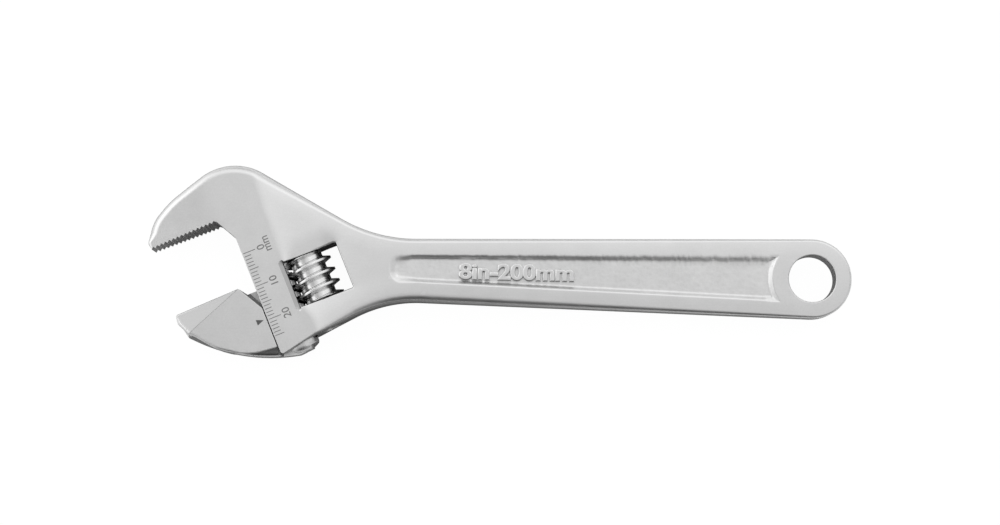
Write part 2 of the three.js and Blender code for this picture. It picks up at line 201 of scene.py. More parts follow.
def smoothStep(t):
    t = np.clip(t, 0, 1)
    return t * t * (3 - 2 * t)


# How far a rounded edge has dropped at a distance from the outline.
def edgeDrop(distance, radius):
    radius = np.maximum(radius, 1e-6)
    inward = np.clip(1 - distance / radius, 0, 1)
    return radius * (1 - np.sqrt(np.maximum(0, 1 - inward ** 2)))


# Meshes.

creaseAngle = 34  # degrees between faces from which an edge is shaded sharp


def makePiece(name, verts, faces, matrix, smoothAngle=creaseAngle):
    mesh = bpy.data.meshes.new(name)
    mesh.from_pydata([tuple(v) for v in verts], [], [tuple(f) for f in faces])
    mesh.transform(Matrix.Scale(mm, 4) @ matrix)
    piece = bpy.data.objects.new(name, mesh)
    bpy.context.scene.collection.objects.link(piece)
    mesh.validate()
    faceOutward(piece)
    finishShading(piece, smoothAngle)
    return piece


def faceOutward(piece):
    work = bmesh.new()
    work.from_mesh(piece.data)
    bmesh.ops.recalc_face_normals(work, faces=work.faces)
    work.to_mesh(piece.data)
    work.free()


def finishShading(piece, smoothAngle):
    piece.data.shade_smooth()
    piece.data.set_sharp_from_angle(angle=math.radians(smoothAngle))


# Joins or cuts pieces, and leaves the result in the first one.
def combine(piece, others, operation):
    for other in others:
        step = piece.modifiers.new("combine", "BOOLEAN")
        step.operation = operation
        step.solver = "MANIFOLD"
        step.object = other
        bpy.context.view_layer.update()
        graph = bpy.context.evaluated_depsgraph_get()
        mesh = bpy.data.meshes.new_from_object(piece.evaluated_get(graph))
        piece.modifiers.clear()
        old = piece.data
        piece.data = mesh
        bpy.data.meshes.remove(old)
        bpy.data.objects.remove(other)
    piece.data.name = piece.name
    finishShading(piece, creaseAngle)
    return piece


# A plate with a shaped top and bottom: loops[0] is the outline, the others are holes. The half
# thickness at each point is the same over and under the middle plane.
def shapedPlate(name, loops, inner, halfAt, matrix):
    points, edges = [], []
    for loop in loops:
        count = len(loop)
        edges += [(len(points) + i, len(points) + (i + 1) % count) for i in range(count)]
        points += [Vector(p[:2]) for p in loop]
    closest = 0.03  # inner points nearer to a loop than this are left out
    kept = np.full(len(inner), True)
    for i, loop in enumerate(loops):
        gap, _ = nearLoop(inner, loop)
        kept &= (insideLoop(inner, loop) == (i == 0)) & (gap > closest)
    points += [Vector(p) for p in inner[kept]]
    flat, _, triangles, _, _, _ = delaunay_2d_cdt(points, edges, [], 0, 1e-5)
    flat = np.array([tuple(p) for p in flat])
    triangles = np.array([t for t in triangles if len(t) == 3])
    centres = flat[triangles].mean(axis=1)
    solid = insideLoop(centres, loops[0])
    for hole in loops[1:]:
        solid &= ~insideLoop(centres, hole)
    triangles = triangles[solid]
    count = len(flat)
    half = halfAt(flat)
    top = np.column_stack([flat, middleHeight + half])
    bottom = np.column_stack([flat, middleHeight - half])
    faces = [tuple(t) for t in triangles] + [tuple(t[::-1] + count) for t in triangles]
    sides = {(int(t[i]), int(t[(i + 1) % 3])) for t in triangles for i in range(3)}
    for a, b in sides:
        if (b, a) not in sides:
            faces.append((a, a + count, b + count, b))
    used = sorted({i for face in faces for i in face})
    fresh = {old: new for new, old in enumerate(used)}
    verts = np.concatenate([top, bottom])[used]
    faces = [tuple(fresh[i] for i in face) for face in faces]
    return makePiece(name, verts, faces, matrix)


def gridPoints(low, high, step):
    xs = np.arange(low[0], high[0], step)
    ys = np.arange(low[1], high[1], step)
    return np.array([(x + (step / 2 if k % 2 else 0), y) for k, y in enumerate(ys) for x in xs])


# Faces between rows of points, each row a ring; closed joins the last row to the first.
def ringFaces(rows, steps, closed=False):
    faces = []
    for j in range(rows if closed else rows - 1):
        below = (j + 1) % rows
        for k in range(steps):
            after = (k + 1) % steps
            faces.append((j * steps + k, j * steps + after, below * steps + after, below * steps + k))
    return faces


# A round bar along v in the head's frame, from rows of (radius, v).
def turnedBar(name, profile, u, steps=96):
    verts = []
    for radius, v in profile:
        for k in range(steps):
            angle = 2 * math.pi * k / steps
            verts.append((u + radius * math.cos(angle), -v, middleHeight + radius * math.sin(angle)))
    rows = len(profile)
    faces = ringFaces(rows, steps)
    faces.append(tuple(range(steps)))
    faces.append(tuple(range((rows - 1) * steps, rows * steps))[::-1])
    return makePiece(name, verts, faces, headMatrix)


def plainPrism(name, outline, low, high, matrix):
    count = len(outline)
    verts = [(x, y, low) for x, y in outline] + [(x, y, high) for x, y in outline]
    faces = [tuple(range(count))[::-1], tuple(range(count, 2 * count))]
    faces += [(i, (i + 1) % count, (i + 1) % count + count, i + count) for i in range(count)]
    return makePiece(name, verts, faces, matrix)


# Rows of points where an edge curves: distances into the panel's walls, and shares of an edge's radius.
panelRows = [-0.3, -0.06, 0.06, 0.2, 0.35, 0.5, 0.7, 0.9, 1.1, 1.35, 1.6, 1.85, 2.2]
ringShares = [1 - math.cos(math.radians(angle)) for angle in (14, 28, 42, 56, 70, 84)] + [1.0, 1.12]

# Body: handle, neck, head and fixed jaw.

body = {
    "handleReach": 166.0,
    "handleDrop": 17.0,
    "endRadius": 11.3,
    "holeRadius": 6.7,
    "holeEdge": 0.35,
    "topSlope": math.radians(0.1),
    "bottomSlope": math.radians(2.4),
    "handleStart": 53.0,
    "handleThickness": 8.0,
    "endThickness": 7.0,
    "upperEdge": 1.4,
    "lowerEdge": 2.5,
    "endEdge": 0.8,
    "crownEdge": 2.5,
    "noseEdge": 2.3,
    "pillow": 0.3,  # how far the handle and neck fall away towards their edges
    "pillowWidth": 5.5,
    "taperBlend": 0.4,
    "taperStart": 1.0,  # how far in front of the throat the fixed jaw starts to thin
    "pillowFade": 6.0,
    "creaseBlend": 1.6,
    "jawEdge": 0.12,
    "toothEdge": 0.05,
    "flatMiddle": 18.0,  # where the ground flat's edge is straight across, and how much it bows away
    "flatBow": 0.0013,
    "flatLobe": 1.3,  # how far the ground flat swings out below the window
    "flatLobePlace": 37.0,
    "flatLobeHalf": 5.5,
    "neckRun": 36.0,  # from the ground flat to where the neck has come down to the handle
    "neckFall": 2.4,
    "reliefWidth": 3.3,
    "reliefDepth": 6.2,
    "toothPitch": 1.25,
    "toothDepth": 0.6,
    "crown": (7.3, -16.9),
    "crownRadius": 16.0,
    "nose": (((-13.9, -10.9), 25.0), ((-20.6, -7.4), 12.0)),  # corners before the tip, with their radii
    "tipReach": 0.5,  # how far the blunt tip stands past the teeth, where it turns, and its roundings
    "tipTurn": -2.0,
    "tipRadius": 1.2,
    "tipEdge": 0.9,
    "sideLength": 41.9,
    "throatRadius": 0.8,
    "lowerCorner": (10.9, 40.0),
    "lowerRadius": 6.0,
    "lowerCornerEdge": 0.6,
    "neckRadiusAbove": 43.0,
    "neckRadiusBelow": 38.0,
    "neckAngleAbove": math.radians(30),
    "neckAngleBelow": math.radians(26),
    "boreRadius": 4.7,
    "boreStart": -0.4,
    "slotStart": -1.4,
    "slotReach": 12.0,
    "seatRadius": 2.3,  # hole for the worm's pin, and the wider hole for its plug
    "seatStart": 12.0,
    "plugRadius": 2.9,
    "plugStart": 34.5,
}
panel = {
    "start": 45.5,
    "rim": 4.6,
    "depth": 1.05,
    "startDepth": 0.7,
    "startRun": 9.0,
    "endDepth": 0.75,
    "cornerRadius": 4.4,
    "endCorner": 1.3,
    "lowWall": 1.6,  # widths of the sloping walls round the panel
    "topWall": 1.5,
    "topWallEnd": 2.5,
    "leftWall": 2.4,
    "endWall": 1.4,
    "lowTurn": 8.0,  # where the left wall's width has changed to the long walls' widths
    "topTurn": 7.0,
    "margin": 3.0,
    "straightFrom": 152.5,  # beyond this the wall at the end is straight, not rounded over
    "upperSide": 3.5,  # the wall along the upper edge lies above this, from the middle of the hole
    "chatter": 0.06,  # unevenness of the wall along the upper edge, and how it grows to the end
    "chatterEnd": 0.3,
}
window = {
    "left": 9.7,
    "right": 25.7,
    "top": 17.65,
    "bottom": 31.45,
    "corner": 0.3,
    "edge": 0.25,
    "leftEdge": 0.1,
    "rightEdge": 0.5,
    "leftBevel": 1.2,  # width and depth of the bevel along the side next to the scale
    "leftBevelDepth": 0.85,
    "bevelEnd": 0.5,
    "leftTurn": 0.6,  # how far from the left side its sharp edge ends
}
# The rolled edge above the worm, and the shallow dish that leads the thumb to it.
thumbRoll = {
    "start": 11.0,
    "radius": 0.8,
    "dishStart": 9.8,
    "dishEnd": 27.0,
    "fade": 5.0,
    "reach": 6.0,
    "depth": 0.82,
    "endGap": 0.5,
}
holeCentre = Vector((body["handleReach"], -body["handleDrop"]))


def lineMeet(pointA, angleA, pointB, angleB):
    along = Vector((math.cos(angleA), math.sin(angleA)))
    across = Vector((-math.sin(angleB), math.cos(angleB)))
    return pointA + along * ((pointB - pointA).dot(across) / along.dot(across))


def handleEdges(inset):
    radius = body["endRadius"] - inset
    top = Vector((math.sin(body["topSlope"]), math.cos(body["topSlope"])))
    bottom = Vector((-math.sin(body["bottomSlope"]), -math.cos(body["bottomSlope"])))
    return holeCentre + top * radius, holeCentre + bottom * radius


def bodyCorners():
    topEdge, bottomEdge = handleEdges(0)
    crown = Vector(onHandle(*body["crown"]))
    lowerCorner = Vector(onHandle(*body["lowerCorner"]))
    above = lineMeet(crown, -body["neckAngleAbove"], topEdge, -body["topSlope"])
    below = lineMeet(lowerCorner, body["neckAngleBelow"], bottomEdge, -body["bottomSlope"])
    sharp, toothEdge = body["jawEdge"], body["toothEdge"]
    corners = []
    teeth = int((head["jawLength"] - body["reliefWidth"]) / body["toothPitch"])
    for i in range(teeth):
        crest = i * body["toothPitch"] - head["jawLength"]
        valley = crest + body["toothPitch"] / 2
        corners.append((*onHandle(crest, 0), 0, toothEdge))
        corners.append((*onHandle(valley, -body["toothDepth"]), 0, toothEdge))
    corners.append((*onHandle(-body["reliefWidth"], 0), 0, toothEdge))
    corners.append((*onHandle(0, body["reliefDepth"]), body["throatRadius"], sharp))
    corners.append((*onHandle(0, body["sideLength"]), body["throatRadius"], sharp))
    corners.append((*lowerCorner, body["lowerRadius"], body["lowerCornerEdge"]))
    corners.append((*below, body["neckRadiusBelow"], body["lowerEdge"]))
    sweep = math.pi + body["bottomSlope"] - body["topSlope"]
    steps = 40
    for k in range(steps + 1):
        angle = -math.pi / 2 - body["bottomSlope"] + k / steps * sweep
        rim = holeCentre + Vector((math.cos(angle), math.sin(angle))) * body["endRadius"]
        corners.append((*rim, 0, body["endEdge"]))
    corners.append((*above, body["neckRadiusAbove"], body["upperEdge"]))
    corners.append((*crown, body["crownRadius"], body["crownEdge"]))
    corners += [(*onHandle(*place), radius, body["noseEdge"]) for place, radius in body["nose"]]
    tip = onHandle(-head["jawLength"] - body["tipReach"], body["tipTurn"])
    corners.append((*tip, body["tipRadius"], body["tipEdge"]))
    return corners


def panelLoop():
    topEdge, bottomEdge = handleEdges(panel["rim"])
    left = Vector((panel["start"], 0))
    topLeft = lineMeet(left, math.pi / 2, topEdge, -body["topSlope"])
    bottomLeft = lineMeet(left, math.pi / 2, bottomEdge, -body["bottomSlope"])
    bossRadius, turn = body["endRadius"], panel["lowTurn"]
    topReach = math.asin((topEdge.y - holeCentre.y) / bossRadius)
    turnHeight = bottomLeft.y - turn * math.tan(-body["bottomSlope"])
    corners = [
        (*bottomLeft, panel["cornerRadius"], panel["leftWall"]),
        (bottomLeft.x + turn, turnHeight, 0, panel["lowWall"]),
    ]
    steps = 14
    for k in range(steps + 1):
        angle = math.pi + topReach - 2 * topReach * k / steps
        x = holeCentre.x + bossRadius * math.cos(angle)
        y = holeCentre.y + bossRadius * math.sin(angle)
        edge = {0: panel["lowWall"], steps: panel["topWallEnd"]}.get(k, panel["endWall"])
        corners.append((x, y, panel["endCorner"] if k in (0, steps) else 0, edge))
    corners.append((topLeft.x + panel["topTurn"], topLeft.y, 0, panel["topWall"]))
    corners.append((*topLeft, panel["cornerRadius"], panel["leftWall"]))
    return roundedLoop(corners, 0.5)


bodyLoop = roundedLoop(bodyCorners(), 0.5)
panelEdge = panelLoop()
windowCorners = [
    (window["left"], window["top"], window["corner"], window["leftEdge"]),
    (window["left"], window["bottom"], window["corner"], window["leftEdge"]),
    (window["left"] + window["leftTurn"], window["bottom"], 0, window["edge"]),
    (window["right"], window["bottom"], window["corner"], window["rightEdge"]),
    (window["right"], window["top"], window["corner"], window["rightEdge"]),
    (window["right"] - thumbRoll["endGap"], window["top"], 0, thumbRoll["radius"]),
    (thumbRoll["start"], window["top"], 0, window["edge"]),
]
windowLoop = roundedLoop([(*onHandle(u, v), corner, edge) for u, v, corner, edge in windowCorners], 0.4)
holeLoop = circleLoop(*holeCentre, body["holeRadius"], body["holeEdge"], 110)[::-1]


# Small seeded unevenness along the handle, a step each so many millimetres.
chatterSteps = np.random.default_rng(7).uniform(-1, 1, 500)
chatterPitch = 0.4


def chatter(x):
    return np.interp(x, np.arange(len(chatterSteps)) * chatterPitch, chatterSteps)


# Edge of the ground flat: it bows towards the handle at both ends and swings out below the window.
def flatEdge(v):
    lobe = np.clip(1 - ((v - body["flatLobePlace"]) / body["flatLobeHalf"]) ** 2, 0, 1)
    return head["flatWidth"] + body["flatBow"] * (v - body["flatMiddle"]) ** 2 + body["flatLobe"] * lobe


def thumbDish(u, v):
    share = smoothStep((u - thumbRoll["dishStart"]) / thumbRoll["fade"])
    share = share * smoothStep((thumbRoll["dishEnd"] - u) / thumbRoll["fade"])
    near = np.clip(1 - (window["top"] - v) / thumbRoll["reach"], 0, 1)
    return thumbRoll["depth"] * share * np.where(v < window["top"] + 0.01, near ** 2, 0)


# A slope that starts gently: curved over the first stretch, straight after it.
def easeIn(distance, blend):
    return np.where(distance < blend, distance ** 2 / (2 * blend), distance - blend / 2)


def bodyHalf(points):
    u, v = toHead(points)
    x = points[:, 0]
    headHalf = head["thickness"] / 2
    # the fixed jaw thins towards its tip, gently at first
    taper = np.clip((-body["taperStart"] - u) / (head["jawLength"] - body["taperStart"]), 0, 1.2)
    taper = easeIn(taper, body["taperBlend"]) / (1 - body["taperBlend"] / 2)
    half = headHalf - (headHalf - head["tipThickness"] / 2) * taper
    handleRun = body["handleReach"] + body["endRadius"] - body["handleStart"]
    along = np.clip((x - body["handleStart"]) / handleRun, 0, 1)
    handleHalf = (body["handleThickness"] + (body["endThickness"] - body["handleThickness"]) * along) / 2
    past = easeIn(np.maximum(u - flatEdge(v), 0), body["creaseBlend"])
    run = np.clip(past / body["neckRun"], 0, 1)
    neck = handleHalf + (headHalf - handleHalf) * (1 - run) ** body["neckFall"]
    half = np.where(u > flatEdge(v), neck, half)
    near = x > panel["start"] - panel["margin"]
    depth = np.zeros(len(points))
    gap, wall = nearLoop(points[near], panelEdge)
    sunk = insideLoop(points[near], panelEdge)
    upper = points[near][:, 1] > holeCentre.y + panel["upperSide"]
    uneven = panel["chatter"] + (panel["chatterEnd"] - panel["chatter"]) * along[near]
    gap = gap + np.where(upper, uneven * chatter(points[near][:, 0]), 0)
    deep = panel["depth"] + (panel["endDepth"] - panel["depth"]) * along[near]
    begun = smoothStep((points[near][:, 0] - panel["start"]) / panel["startRun"])
    deep = deep - (panel["depth"] - panel["startDepth"]) * (1 - begun)
    down = np.clip(np.where(sunk, gap, 0) / wall, 0, 1)
    rounded = upper | (points[near][:, 0] < panel["straightFrom"])
    depth[near] = deep * np.where(rounded, smoothStep(down), down)
    gap, edge = nearLoop(points, bodyLoop)
    fall = body["pillow"] * np.clip(1 - gap / body["pillowWidth"], 0, 1) ** 2
    fall = fall * smoothStep((u - flatEdge(v)) / body["pillowFade"])
    half = half - depth - fall - edgeDrop(gap, edge) - thumbDish(u, v)
    for hole in (windowLoop, holeLoop):
        gap, edge = nearLoop(points, hole)
        half = half - edgeDrop(gap, edge)
    past = np.maximum(np.maximum(window["top"] - v, v - window["bottom"]), 0)
    past = past + np.maximum(u - window["left"], 0)
    away = np.maximum(window["left"] - u, 0) / window["leftBevel"] + past / window["bevelEnd"]
    return half - window["leftBevelDepth"] * np.clip(1 - away, 0, 1)


# How finely the body is divided: rows beside the flat's edge and the bevel, and grids of points.
bodyRows = {
    "flatPlaces": np.arange(-16, 42, 0.5),
    "flatSides": (-0.12, 0, 0.12, 0.4),
    "bevelSides": (-1, -0.93, 0.93, 1),
    "headGrid": ((-26, -60), (60, 20), 0.9),
    "handleGrid": ((60, -40), (182, 0), 1.1),
}


def buildBody():
    sides = bodyRows["flatSides"]
    crease = np.array([onHandle(flatEdge(v) + side, v) for v in bodyRows["flatPlaces"] for side in sides])
    inner = np.concatenate([
        besideLoop(bodyLoop, ringShares, True),
        besideLoop(windowLoop, [-share for share in ringShares], True),
        besideLoop(windowLoop, ringShares, True),
        besideLoop(windowLoop, [side * window["leftBevel"] for side in bodyRows["bevelSides"]], False),
        besideLoop(holeLoop, ringShares, True),
        besideLoop(holeLoop, [-share for share in ringShares], True),
        besideLoop(panelEdge, panelRows, False),
        crease,
        gridPoints(*bodyRows["headGrid"]),
        gridPoints(*bodyRows["handleGrid"]),
    ])
    loops = [bodyLoop, windowLoop, holeLoop]
    made = shapedPlate("wrench_body", loops, inner, bodyHalf, handleMatrix)
    bottomEnd = body["sideLength"] + 5
    holes = [
        turnedBar(name, [(radius, start), (radius, bottomEnd)], u, steps)
        for name, radius, start, u, steps in (
            ("bore", body["boreRadius"], body["boreStart"], head["railAxis"], 96),
            ("seat", body["seatRadius"], body["seatStart"], head["wormAxis"], 64),
            ("plug", body["plugRadius"], body["plugStart"], head["wormAxis"], 64),
        )
    ]
    slotHalf = head["webThickness"] / 2 + head["clearance"]
    left, right, start = -body["slotReach"], head["railAxis"], body["slotStart"]
    outline = [(left, start), (right, start), (right, -bottomEnd), (left, -bottomEnd)]
    slot = plainPrism("slot", outline, middleHeight - slotHalf, middleHeight + slotHalf, headMatrix)
    return combine(made, [holes[0], slot, *holes[1:]], "DIFFERENCE")


wrenchBody = buildBody()
print("body made:", len(wrenchBody.data.polygons), "faces")

# Movable jaw: cheek and nose, the thinner belly under them, web, rail and rack.

jaw = {
    "cheekSetBack": 4.55,
    "cheekCut": 7.6,
    "cheekBottom": 19.4,
    "creaseEnd": (-21.7, 6.4),
    "bellyStart": (-22.7, 7.55),
    "shoulder": 5.8,  # where the core shows in front of the cheek's cut, at the throat
    "bellyInset": 1.1,  # how far the nose plate stands back from the belly at the front
    "bellyInsetEnd": -16.5,
    "bellyInsetRun": 5.5,
    "bellyInsetWay": 0.7,  # the same step in u and in v
    "bellyEnd": (4.5, 23.4),
    "bellyRadius": 51.0,
    "bellyEdge": 1.5,
    "bellyFrontEdge": 0.25,
    "bellyFrontEnd": -15.0,
    "bellySteps": 32,
    "tip": (((0.5, 0.0), 0.6, 0.5), ((0.9, 2.6), 2.2, 1.3)),  # place past the jaw, corner and edge radii
    "coreBack": (0.6, -0.05),  # how far the core's tip stands behind the nose plate's
    "coreNose": (-22.9, 6.9),
    "coreEdge": 0.2,
    "coreThinner": 0.05,  # than the jaw's tip, on each side
    "coreBottom": 22.0,
    "coreBottomEdge": 0.8,
    "cheekNose": (-22.2, 6.8),
    "cheekNoseEdge": 1.1,
    "cheekEdge": 0.9,
    "cheekEnd": -13.5,  # where the nose plate leaves the belly's curve for the heel
    "heel": (-7.5, 18.6),
    "heelRadius": 24.0,
    "fineEdge": 0.15,
    "webTop": 2.0,
    "webStart": (-9.0, 8.0),
    "webBottom": 23.3,
    "webStep": 0.6,
    "railLength": 23.2,
    "railRounding": 2.2,  # of the rail's lower end
    "railProfile": ((0.4, 0.3), (0.12, 0.38), (0.0, 0.65)),  # its upper end: steps in from the side, v
    "pitch": 3.5,
    "firstGroove": 2.05,
    "wormRadius": 6.8,
    "wormRoot": 4.8,
    "crestWidth": 1.0,
    "flank": math.radians(15),
    "grooveHalf": 7.0,  # half of a cut groove's length, past the rail on both sides
}


def jawPoint(u, v):
    return u, -(v + head["opening"])


def bellyPoints(steps):
    start, end = Vector(jawPoint(*jaw["bellyStart"])), Vector(jawPoint(*jaw["bellyEnd"]))
    chord = end - start
    drop = math.sqrt(jaw["bellyRadius"] ** 2 - chord.length_squared / 4)
    centre = (start + end) / 2 + Vector((-chord.y, chord.x)).normalized() * drop
    first = math.atan2(start.y - centre.y, start.x - centre.x)
    last = math.atan2(end.y - centre.y, end.x - centre.x)
    angles = [first + (last - first) * k / steps for k in range(steps + 1)]
    radius = jaw["bellyRadius"]
    return [(centre.x + radius * math.cos(a), centre.y + radius * math.sin(a)) for a in angles]


belly = bellyPoints(jaw["bellySteps"])
sideU = -head["clearance"]
fine = jaw["fineEdge"]
tipCorners = [
    (*jawPoint(-head["jawLength"] - past, v), radius, edge) for (past, v), radius, edge in jaw["tip"]
]
coreX, coreY = jaw["coreBack"]


# The belly's curve where the nose plate follows it, set back towards the front.
def insetBelly():
    corners = []
    for x, y in belly[2:]:
        if x < jaw["cheekEnd"]:
            share = min(max((jaw["bellyInsetEnd"] - x) / jaw["bellyInsetRun"], 0), 1)
            inset = jaw["bellyInset"] * share * jaw["bellyInsetWay"]
            corners.append((x + inset, y + inset, 0, jaw["cheekEdge"]))
    return corners


coreLoop = roundedLoop([
    *[(x + coreX, y + coreY, radius, jaw["coreEdge"]) for x, y, radius, _ in tipCorners],
    (*jawPoint(*jaw["coreNose"]), 0.2, jaw["coreEdge"]),
    *[
        (x, y, 0, jaw["bellyEdge"] if x > jaw["bellyFrontEnd"] else jaw["bellyFrontEdge"])
        for x, y in belly if x < sideU - 0.4
    ],
    (*jawPoint(sideU, jaw["coreBottom"]), 0.3, jaw["coreBottomEdge"]),
    (*jawPoint(sideU, jaw["shoulder"]), 0.3, 0.1),
    (*jawPoint(-jaw["cheekSetBack"] + 0.1, 0.1), fine, 0.1),
], 0.4)
cheekLoop = roundedLoop([
    *tipCorners,
    (*jawPoint(*jaw["cheekNose"]), 1.0, jaw["cheekNoseEdge"]),
    *insetBelly(),
    (*jawPoint(*jaw["heel"]), jaw["heelRadius"], 0.2),
    (*jawPoint(sideU, jaw["cheekBottom"]), 0.4, fine),
    (*jawPoint(sideU, jaw["cheekCut"]), 0.3, fine),
    (*jawPoint(-jaw["cheekSetBack"], 0), fine, fine),
], 0.4)


def creaseDistance(points):
    start = Vector(jawPoint(-jaw["cheekSetBack"], 0))
    way = (Vector(jawPoint(*jaw["creaseEnd"])) - start).normalized()
    return (points[:, 0] - start.x) * -way.y + (points[:, 1] - start.y) * way.x


def cheekHalf(points):
    beyond = -creaseDistance(points)
    tipGap = -creaseDistance(np.array([jawPoint(-head["jawLength"], 0)]))[0]
    slope = (head["thickness"] - head["tipThickness"]) / 2 / tipGap
    half = head["thickness"] / 2 - slope * np.maximum(beyond, 0)
    gap, edge = nearLoop(points, cheekLoop)
    return half - edgeDrop(gap, edge)


def coreHalf(points):
    gap, edge = nearLoop(points, coreLoop)
    return head["tipThickness"] / 2 - jaw["coreThinner"] - edgeDrop(gap, edge)


def webHalf(points):
    return np.full(len(points), head["webThickness"] / 2)


def rackGroove(v):
    depth = jaw["wormRadius"] - jaw["wormRoot"] + 2 * head["clearance"]
    root = jaw["crestWidth"] / 2 + head["clearance"] * (1 - math.tan(jaw["flank"]))
    mouth = root + depth * math.tan(jaw["flank"])
    rackRoot = head["wormAxis"] - jaw["wormRadius"] - head["clearance"]
    lead = math.atan(jaw["pitch"] / (2 * math.pi * jaw["wormRadius"]))
    turn = Matrix.Rotation(-lead, 4, "X")
    place = Matrix.Translation((rackRoot, -(v + head["opening"]), middleHeight))
    section = [(0, -root), (depth, -mouth), (depth, mouth), (0, root)]
    reach = jaw["grooveHalf"]
    return plainPrism("groove", section, -reach, reach, headMatrix @ place @ turn)


def buildJaw():
    grid = gridPoints(jawPoint(-26, 25), jawPoint(8, -1), 0.8)
    (startX, startY), (endX, endY) = jawPoint(-jaw["cheekSetBack"], 0), jawPoint(*jaw["creaseEnd"])
    crease = []
    for k in range(50):  # a little past the crease's end
        share = k / 48
        x = startX + (endX - startX) * share
        y = startY + (endY - startY) * share
        crease += [(x, y), (x + 0.04, y + 0.1), (x - 0.04, y - 0.1)]
    cheekInner = np.concatenate([besideLoop(cheekLoop, ringShares, True), np.array(crease), grid])
    coreInner = np.concatenate([besideLoop(coreLoop, ringShares, True), grid])
    cheek = shapedPlate("wrench_jaw", [cheekLoop], cheekInner, cheekHalf, headMatrix)
    core = shapedPlate("core", [coreLoop], coreInner, coreHalf, headMatrix)
    webLoop = roundedLoop([
        *[(x, y, 0, 0) for x, y in belly if x > jaw["webStart"][0]],
        (*jawPoint(head["railAxis"], jaw["webBottom"]), 0, 0),
        (*jawPoint(head["railAxis"], jaw["webTop"]), 0, 0),
        (*jawPoint(-jaw["cheekSetBack"] + jaw["webStep"], jaw["webTop"]), 0.4, 0),
        (*jawPoint(*jaw["webStart"]), 0, 0),
    ], 0.8)
    web = shapedPlate("web", [webLoop], grid, webHalf, headMatrix)
    radius, rounding = head["railRadius"], jaw["railRounding"]
    straightEnd = jaw["railLength"] - rounding
    profile = [(radius - step, v) for step, v in jaw["railProfile"]] + [(radius, straightEnd)]
    for angle in map(math.radians, (15, 30, 45, 60, 75, 88)):
        profile.append((radius - rounding * (1 - math.cos(angle)), straightEnd + rounding * math.sin(angle)))
    rail = turnedBar("rail", [(r, v + head["opening"]) for r, v in profile], head["railAxis"], 120)
    places = np.arange(jaw["firstGroove"], jaw["railLength"] + 1, jaw["pitch"])
    rail = combine(rail, [rackGroove(float(place)) for place in places], "DIFFERENCE")
    return combine(cheek, [core, web, rail], "UNION")


wrenchJaw = buildJaw()
print("movable jaw made:", len(wrenchJaw.data.polygons), "faces")

# Worm: one right-handed thread, rounded at its crest and root, with end chamfers.

worm = {
    "radius": 6.8,
    "root": 4.7,
    "crest": 0.7,
    "flank": math.radians(19),
    "round": 0.2,
    "start": 17.95,
    "length": 13.2,
    "crestAt": 20.3,
    "chamfer": 0.45,
    "bore": 2.3,
    "pocket": 3.5,
    "pocketEnd": 22.7,
    "steps": 160,
    "rows": 190,
}


# The thread's radius at a distance along the axis from the nearest crest's middle.
def wormProfile(away):
    crestHalf = worm["crest"] / 2
    flat = (away - crestHalf) / math.tan(worm["flank"])
    height = worm["radius"] - np.maximum(flat, 0)
    soft = worm["round"]
    low = np.maximum(height, worm["root"])
    blend = np.clip((height - worm["root"] + 2 * soft) / (4 * soft), 0, 1)
    low = np.where(np.abs(height - worm["root"]) < 2 * soft, worm["root"] + 2 * soft * blend ** 2, low)
    crestBlend = np.clip((away - crestHalf + soft) / (2 * soft), 0, 1)
    return low - np.where(away < crestHalf + soft, crestBlend ** 2 * soft * 0.6, 0)


def buildWorm():
    steps = worm["steps"]
    angles = np.arange(steps) / steps * 2 * math.pi
    start, end = worm["start"], worm["start"] + worm["length"]
    lines = []
    for v in np.linspace(start, end, worm["rows"]):
        shift = v - worm["crestAt"] - jaw["pitch"] * angles / (2 * math.pi)
        away = np.abs(np.remainder(shift + jaw["pitch"] / 2, jaw["pitch"]) - jaw["pitch"] / 2)
        radius = wormProfile(away)
        toEnd = min(v - start, end - v)
        limit = worm["radius"] - worm["chamfer"] * max(0.0, 1 - toEnd / worm["chamfer"])
        lines.append((np.minimum(radius, limit), v))
    flat = np.ones(steps)
    lines += [(flat * worm["bore"], end), (flat * worm["bore"], worm["pocketEnd"])]
    lines += [(flat * worm["pocket"], worm["pocketEnd"]), (flat * worm["pocket"], start)]
    verts = []
    for radius, v in lines:
        for k in range(steps):
            x = head["wormAxis"] + radius[k] * math.cos(angles[k])
            verts.append((x, -v, middleHeight + radius[k] * math.sin(angles[k])))
    faces = ringFaces(len(lines), steps, closed=True)
    return makePiece("wrench_worm", verts, faces, headMatrix, smoothAngle=40)


wrenchWorm = buildWorm()
print("worm made:", len(wrenchWorm.data.polygons), "faces")

# Worm pin: plain shaft, slotted plug.

pin = {
    "radius": 2.0,
    "start": 12.45,
    "plugRadius": 2.6,
    "plugStart": 35.0,
    "end": 39.4,
    "thread": 0.7,  # pitch and depth of the plug's thread
    "threadDepth": 0.18,
    "threadEnd": 0.9,
    "slot": 0.8,
    "slotDepth": 1.0,
    "chamfers": (0.5, 0.3, 0.25),  # at the pin's start, the plug's start and the plug's end
}


